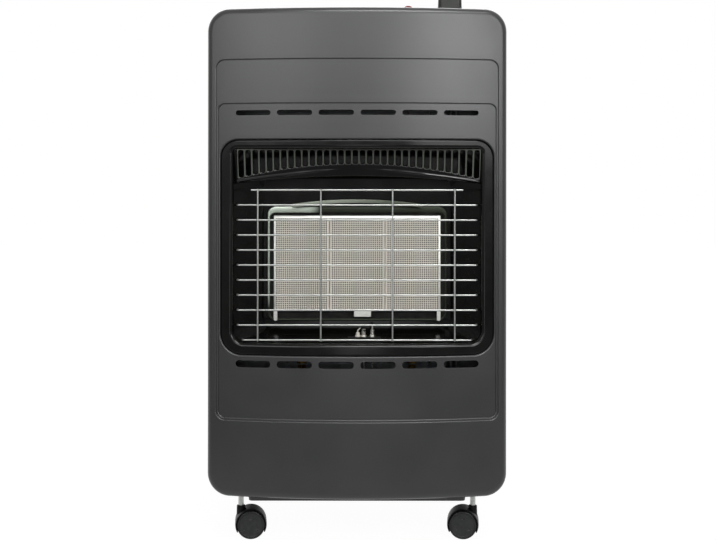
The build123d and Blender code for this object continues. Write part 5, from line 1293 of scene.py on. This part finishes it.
@dataclass
class CasterHood(CasterPart):
    """Moulded hood of one caster: a rounded mudguard, the web between the wheels and the stem's boss."""

    radius: float = 22.5
    half: float = 18.0
    inner: float = 20.7
    skirt: float = 9.5
    web_half: float = 4.2
    web_seat: float = 0.6
    web_edge: float = 0.5
    boss_radius: float = 6.1
    boss_foot: float = 6.5
    boss_top: float = 25.2
    arc_steps: int = 48

    def section(self) -> list[Flat]:
        """Section of the mudguard, with rounded shoulders.

        Returns:
            Pairs of place along the axle and radius, in mm.
        """
        shoulder = ((0.0, -1.55), (0.25, -1.15), (0.9, -0.75), (2.2, -0.38), (4.5, -0.12), (8.5, 0.0))
        left = [(-self.half + in_, self.radius + drop) for in_, drop in shoulder]
        right = [(-along, radius) for along, radius in reversed(left)]
        return left + right + [(self.half - 0.15, self.inner), (-self.half + 0.15, self.inner)]

    def on_arc(self, along: float, radius: float, step: int, sink: float) -> Spot:
        """Point of an arc over the wheels.

        Args:
            along: place along the axle, in mm.
            radius: radius of the arc, in mm.
            step: number of the point, from one lower end to the other.
            sink: sine of the angle by which both ends reach below the axle.

        Returns:
            The point, from the middle of the axle.
        """
        low = math.asin(sink)
        turn = -low + (math.pi + 2 * low) * step / self.arc_steps
        return (radius * math.cos(turn), along, radius * math.sin(turn))

    def add_guard(self, draft: MeshDraft) -> None:
        """Adds the mudguard, from its lower end over the top to the other.

        Args:
            draft: mesh that gets the faces.
        """
        rows = []
        for step in range(self.arc_steps + 1):
            ring = [self.on_arc(along, radius, step, self.skirt / radius) for along, radius in self.section()]
            rows.append(draft.row(ring))
        draft.stack(rows, capped=True)

    def add_web(self, draft: MeshDraft) -> None:
        """Adds the plate between the wheels, inside the mudguard.

        Args:
            draft: mesh that gets the faces.
        """
        reach, half, soft = self.inner + self.web_seat, self.web_half, self.web_edge
        rows = []
        steps, sink = range(self.arc_steps + 1), self.skirt / reach
        for along, inset in ((-half, soft), (soft - half, 0.0), (half - soft, 0.0), (half, soft)):
            rows.append(draft.row([self.on_arc(along, reach - inset, step, sink) for step in steps]))
        draft.stack(rows, capped=True)

    def add_boss(self, draft: MeshDraft) -> None:
        """Adds the boss round the stem, wider at its foot.

        Args:
            draft: mesh that gets the faces.
        """
        top, radius = self.boss_top, self.boss_radius
        profile = (
            (self.boss_foot, 0.0), (self.boss_foot, 12.0), (radius + 0.2, 18.0), (radius, top - 1.1),
            (radius - 0.3, top - 0.35), (radius - 1.0, top), (radius - 1.6, top - 0.2),
        )
        around = [(math.cos(turn), math.sin(turn)) for turn in turns(self.arc_steps)]
        rows = [draft.row([(size * x - self.trail, size * y, z) for x, y in around]) for size, z in profile]
        draft.stack(rows, capped=True)

    def build(self, workshop: "Workshop") -> None:
        """Makes the hood in place and dresses it.

        Args:
            workshop: gives the finish.
        """
        draft = MeshDraft()
        self.add_guard(draft)
        self.add_web(draft)
        self.add_boss(draft)
        self.set_out(draft)
        piece = draft.build("hood_" + self.corner, smooth_degrees=38.0)
        node, body = "caster_hood_" + self.corner, "caster_" + self.corner
        workshop.hand_over(piece, "black_plastic", body, node, finish="hood_nylon")


# ------------------------------------------------------------------ cabinet screws
@dataclass
class CabinetScrews:
    """Pan-head screws of the top panel, with a cross recess."""

    half: float = 177.0
    rows: Flat = (-150.5, 182.5)
    seat: float = 746.75
    head: float = 3.6
    height: float = 1.8
    recess: float = 1.9
    recess_half: float = 0.5
    recess_depth: float = 1.1
    shank: float = 1.9
    length: float = 6.0
    domes: int = 6

    def angles(self) -> list[float]:
        """Sets the corners round a head, with one at each corner of the cross.

        Returns:
            Their angles.
        """
        corner = math.atan2(self.recess_half, self.recess)
        eighth = [0.0, corner / 2, corner, (corner + math.pi / 4) / 2, math.pi / 4]
        quarter = eighth + [math.pi / 2 - turn for turn in reversed(eighth[1:-1])]
        return [quadrant * math.pi / 2 + turn for quadrant in range(4) for turn in quarter]

    def cross(self, turn: float) -> float:
        """Measures the cross recess.

        Args:
            turn: angle round the screw.

        Returns:
            Distance from the middle to the recess's wall, in mm.
        """
        folded = turn % (math.pi / 2)
        folded = min(folded, math.pi / 2 - folded)
        if folded <= math.atan2(self.recess_half, self.recess) + WELD_MM:
            return self.recess / math.cos(folded)
        return self.recess_half / math.sin(folded)

    def ring(self, centre: Flat, reach: list[float], rise: list[float]) -> list[Spot]:
        """Ring of corners round a screw's middle.

        Args:
            centre: x and y of the screw, in mm.
            reach: distance of each corner from the middle.
            rise: height of each corner above the seat.

        Returns:
            The corners' places.
        """
        return [
            (centre[0] + r * math.cos(t), centre[1] + r * math.sin(t), self.seat + z)
            for t, r, z in zip(self.angles(), reach, rise)
        ]

    def build(self, workshop: "Workshop") -> None:
        """Makes the screws and dresses them.

        Args:
            workshop: gives the finish.
        """
        draft = MeshDraft()
        cross = [self.cross(turn) for turn in self.angles()]
        count = len(cross)
        for centre in ((x, y) for x in (-self.half, self.half) for y in self.rows):
            rows = []
            for depth, radius in ((-self.length, self.shank), (0.0, self.shank), (0.0, self.head)):
                rows.append(draft.row(self.ring(centre, [radius] * count, [depth] * count)))
            for step in range(1, self.domes + 1):
                share = step / self.domes
                reach = [self.head + (inner - self.head) * share**1.5 for inner in cross]
                rise = [self.height * (1 - (r / self.head) ** 3) ** 0.6 for r in reach]
                rows.append(draft.row(self.ring(centre, reach, rise)))
            floor = self.height - self.recess_depth
            rows.append(draft.row(self.ring(centre, [0.8 * inner for inner in cross], [floor] * count)))
            draft.stack(rows, capped=True)
        piece = draft.build("top_screws", smooth_degrees=35.0)
        workshop.hand_over(piece, "zinc_screw", "root", "cabinet_screws")


# ------------------------------------------------------------------ return spring
@dataclass
class ReturnSpring:
    """Compression spring under the push sleeve, with closed end turns."""

    node: str = "valve_return_spring"
    joint: str = "knob_push"
    press: float = 4.0
    wire: float = 0.45
    room: float = 1.2
    shut: float = 2.1
    turns: float = 6.5
    closed_turns: float = 1.0
    turn_steps: int = 24
    sides: int = 10

    def climb(self, turn: float, height: float) -> float:
        """Follows the wire up the coil: slowly in the closed turns, steeply between them.

        Args:
            turn: number of turns from the lower end.
            height: height of the whole climb, in mm.

        Returns:
            Height of the wire's middle over its lowest point, in mm.
        """
        shut = self.shut * self.wire
        open_turns = self.turns - 2 * self.closed_turns
        rise = (height - 2 * shut * self.closed_turns) / open_turns
        low = shut * min(turn, self.closed_turns)
        middle = rise * min(max(turn - self.closed_turns, 0.0), open_turns)
        return low + middle + shut * max(turn - self.closed_turns - open_turns, 0.0)

    def build(self, workshop: "Workshop") -> None:
        """Winds the spring in its bore and gives it a mesh of its own.

        Args:
            workshop: gives the finish.
        """
        low, high = (Vector(corner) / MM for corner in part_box(self.node))
        middle, radius = (low + high) / 2, (high.x - low.x) / 2 - self.wire
        height = high.z - low.z - 2 * self.room * self.wire
        path = []
        for step in range(round(self.turns * self.turn_steps) + 1):
            turn = step / self.turn_steps
            across, away = radius * math.cos(2 * math.pi * turn), radius * math.sin(2 * math.pi * turn)
            rise = self.room * self.wire + self.climb(turn, height)
            path.append(Vector((middle.x + across, middle.y + away, low.z + rise)))
        draft = MeshDraft()
        draft.tube(path, self.wire, self.sides)
        piece = draft.build("return_spring", smooth_degrees=50.0)
        workshop.hand_over(piece, "spring_steel", "root", self.node)
        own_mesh(piece)


# ------------------------------------------------------------------ studio
@dataclass
class Lamp:
    """One softbox: where it stands, what it points at, its size and its power."""

    name: str
    place: Spot
    aim: Spot
    width: float
    height: float
    power: float

    def build(self) -> bpy.types.Object:
        """Makes the area light, in metres and watts.

        Returns:
            The light object.
        """
        data = bpy.data.lights.new(self.name, "AREA")
        data.shape = "RECTANGLE"
        data.size = self.width
        data.size_y = self.height
        data.energy = self.power
        lamp = bpy.data.objects.new(self.name, data)
        bpy.context.scene.collection.objects.link(lamp)
        lamp.location = self.place
        way = Vector(self.aim) - Vector(self.place)
        lamp.rotation_euler = way.to_track_quat("-Z", "Y").to_euler()
        lamp.visible_camera = False
        return lamp


@dataclass
class Studio:
    """Plain pale floor, soft lamps and the camera at the photograph's angle.

    Attributes:
        camera_y: distance of the lens ahead of the origin, in mm.
        camera_z: height of the lens, in mm.
        lens: focal length for a sensor 36 mm wide.
        centre_x: column that the lens looks straight at, in pixels.
        centre_y: row that the lens looks straight at, in pixels.
        roll: tilt of the photograph, in degrees.
        floor_half: half the floor's width, in metres.
        front_gleam: how white the room ahead of the heater shows in reflections.
        shade_reach: distances, in metres, between which the floor's light shadow fades out.
        shade_white: how white the floor is next to the heater.
        room_light: strength of the soft light from all sides.
    """

    camera_y: float = -1836.5
    camera_z: float = 503.6
    lens: float = 59.87
    image_width: float = 716.0
    image_height: float = 540.0
    centre_x: float = 357.2
    centre_y: float = 184.6
    roll: float = -0.05
    floor_half: float = 8.0
    front_gleam: float = 0.15
    shade_reach: Flat = (0.3, 0.9)
    shade_white: float = 0.97
    room_light: float = 0.2
    lamps: list[Lamp] = field(
        default_factory=lambda: [
            Lamp("key_softbox", (0.05, -1.35, 0.94), (0.0, -0.2, 0.65), 1.0, 0.5, 2.6),
            Lamp("right_softbox", (0.85, -1.7, 0.94), (0.1, -0.2, 0.6), 0.8, 0.6, 8.8),
            Lamp("left_softbox", (-0.8, -1.7, 1.0), (-0.1, -0.2, 0.65), 0.7, 0.6, 4.4),
            Lamp("high_softbox", (0.3, -1.5, 2.2), (0.0, -0.2, 0.4), 1.2, 0.4, 25.0),
            Lamp("low_softbox", (0.0, -1.9, 0.22), (0.0, -0.2, 0.3), 0.35, 0.3, 0.6),
            Lamp("back_softbox", (0.0, 2.0, 1.9), (0.0, 0.1, 0.5), 1.8, 1.0, 26.0),
        ]
    )

    def add_camera(self) -> None:
        """Stands the camera level in front of the heater, with the lens shifted to the photograph's frame."""
        data = bpy.data.cameras.new("studio_camera")
        data.sensor_width = 36.0
        data.lens = self.lens
        data.shift_x = (self.image_width / 2 - self.centre_x) / self.image_width
        data.shift_y = (self.centre_y - self.image_height / 2) / self.image_width
        camera = bpy.data.objects.new("studio_camera", data)
        bpy.context.scene.collection.objects.link(camera)
        camera.location = (0.0, self.camera_y * MM, self.camera_z * MM)
        camera.rotation_euler = (math.radians(90.0), math.radians(self.roll), 0.0)
        bpy.context.scene.camera = camera

    def white_share(
        self, tree: bpy.types.NodeTree, place: bpy.types.NodeSocket, start: float, end: float
    ) -> bpy.types.NodeSocket:
        """Tells rays that show the white background from rays that carry light.

        Reflections show it too: in full behind the heater, and dimly in the darker room on the camera's side.

        Args:
            tree: node tree of the floor or the world.
            place: coordinates, whose Y tells what is behind the heater.
            start: Y at which reflections begin to turn white.
            end: Y from which they are white.

        Returns:
            One for camera rays and for reflections of what is behind, and less for reflections of the front.
        """
        rays = add_node(tree, "ShaderNodeLightPath", {})
        sockets = {0: rays.outputs["Is Glossy Ray"], 1: rays.outputs["Is Transmission Ray"]}
        mirrored = add_node(tree, "ShaderNodeMath", sockets, operation="MAXIMUM").outputs[0]
        way = add_node(tree, "ShaderNodeSeparateXYZ", {"Vector": place})
        sockets = {"Value": way.outputs["Y"], "From Min": start, "From Max": end, "To Min": self.front_gleam}
        behind = add_node(tree, "ShaderNodeMapRange", sockets).outputs["Result"]
        sockets = {0: mirrored, 1: behind}
        shown = add_node(tree, "ShaderNodeMath", sockets, operation="MULTIPLY").outputs[0]
        sockets = {0: rays.outputs["Is Camera Ray"], 1: shown}
        return add_node(tree, "ShaderNodeMath", sockets, operation="MAXIMUM").outputs[0]

    def add_floor(self) -> None:
        """Lays a pale floor that shows white and keeps a light shadow."""
        mesh = bpy.data.meshes.new("floor")
        h = self.floor_half
        mesh.from_pydata([(-h, -h, 0), (h, -h, 0), (h, h, 0), (-h, h, 0)], [], [(0, 1, 2, 3)])
        floor = bpy.data.objects.new("floor", mesh)
        bpy.context.scene.collection.objects.link(floor)
        made = bpy.data.materials.new("pale_floor")
        made.use_nodes = True
        tree = made.node_tree
        tree.nodes.clear()
        matt = add_node(tree, "ShaderNodeBsdfDiffuse", {"Color": linear("#4a4a4a")})
        place = add_node(tree, "ShaderNodeTexCoord", {})
        reach = add_node(tree, "ShaderNodeVectorMath", {0: place.outputs["Object"]}, operation="LENGTH")
        near, far = self.shade_reach
        sockets = {"Value": reach.outputs["Value"], "From Min": near, "From Max": far}
        sockets["To Min"] = self.shade_white
        glow = add_node(tree, "ShaderNodeMapRange", sockets).outputs["Result"]
        white = add_node(tree, "ShaderNodeEmission", {"Color": linear("#ffffff"), "Strength": glow})
        shown = add_node(tree, "ShaderNodeAddShader", {0: matt.outputs[0], 1: white.outputs[0]})
        share = self.white_share(tree, place.outputs["Object"], -0.7, 0.0)
        sockets = {0: share, 1: matt.outputs[0], 2: shown.outputs[0]}
        mixed = add_node(tree, "ShaderNodeMixShader", sockets)
        add_node(tree, "ShaderNodeOutputMaterial", {"Surface": mixed.outputs[0]})
        mesh.materials.append(made)

    def add_world(self) -> None:
        """Fills the room with soft light and shows a white backdrop."""
        world = bpy.data.worlds.new("studio_world")
        bpy.context.scene.world = world
        world.use_nodes = True
        tree = world.node_tree
        tree.nodes.clear()
        sockets = {"Color": linear("#ffffff"), "Strength": self.room_light}
        soft = add_node(tree, "ShaderNodeBackground", sockets)
        white = add_node(tree, "ShaderNodeBackground", {**sockets, "Strength": 1.0})
        place = add_node(tree, "ShaderNodeTexCoord", {})
        share = self.white_share(tree, place.outputs["Generated"], -0.1, 0.5)
        sockets = {0: share, 1: soft.outputs[0], 2: white.outputs[0]}
        mixed = add_node(tree, "ShaderNodeMixShader", sockets)
        add_node(tree, "ShaderNodeOutputWorld", {"Surface": mixed.outputs[0]})

    def build(self) -> None:
        """Sets up the whole studio."""
        bpy.context.scene.view_settings.view_transform = "Standard"
        self.add_camera()
        self.add_floor()
        self.add_world()
        for lamp in self.lamps:
            lamp.build()


def main() -> None:
    """Builds and dresses the heater, then stands it in the studio."""
    logging.basicConfig(level=logging.INFO, format="%(name)s %(message)s")
    workshop = Workshop()
    workshop.dress_frame()
    LouvreHood().build(workshop)
    BurnerPlaques().build(workshop)
    BurnerSurround().build(workshop)
    BurnerFrame().build(workshop)
    BurnerArch().build(workshop)
    FrontGuard().build(workshop)
    CabinetScrews().build(workshop)
    ReturnSpring().build(workshop)
    for corner, (stem, yaw) in CASTERS.items():
        CasterWheels(corner, stem, yaw).build(workshop)
        CasterHood(corner, stem, yaw).build(workshop)
    Studio().build()


if __name__ == "__main__":
    main()
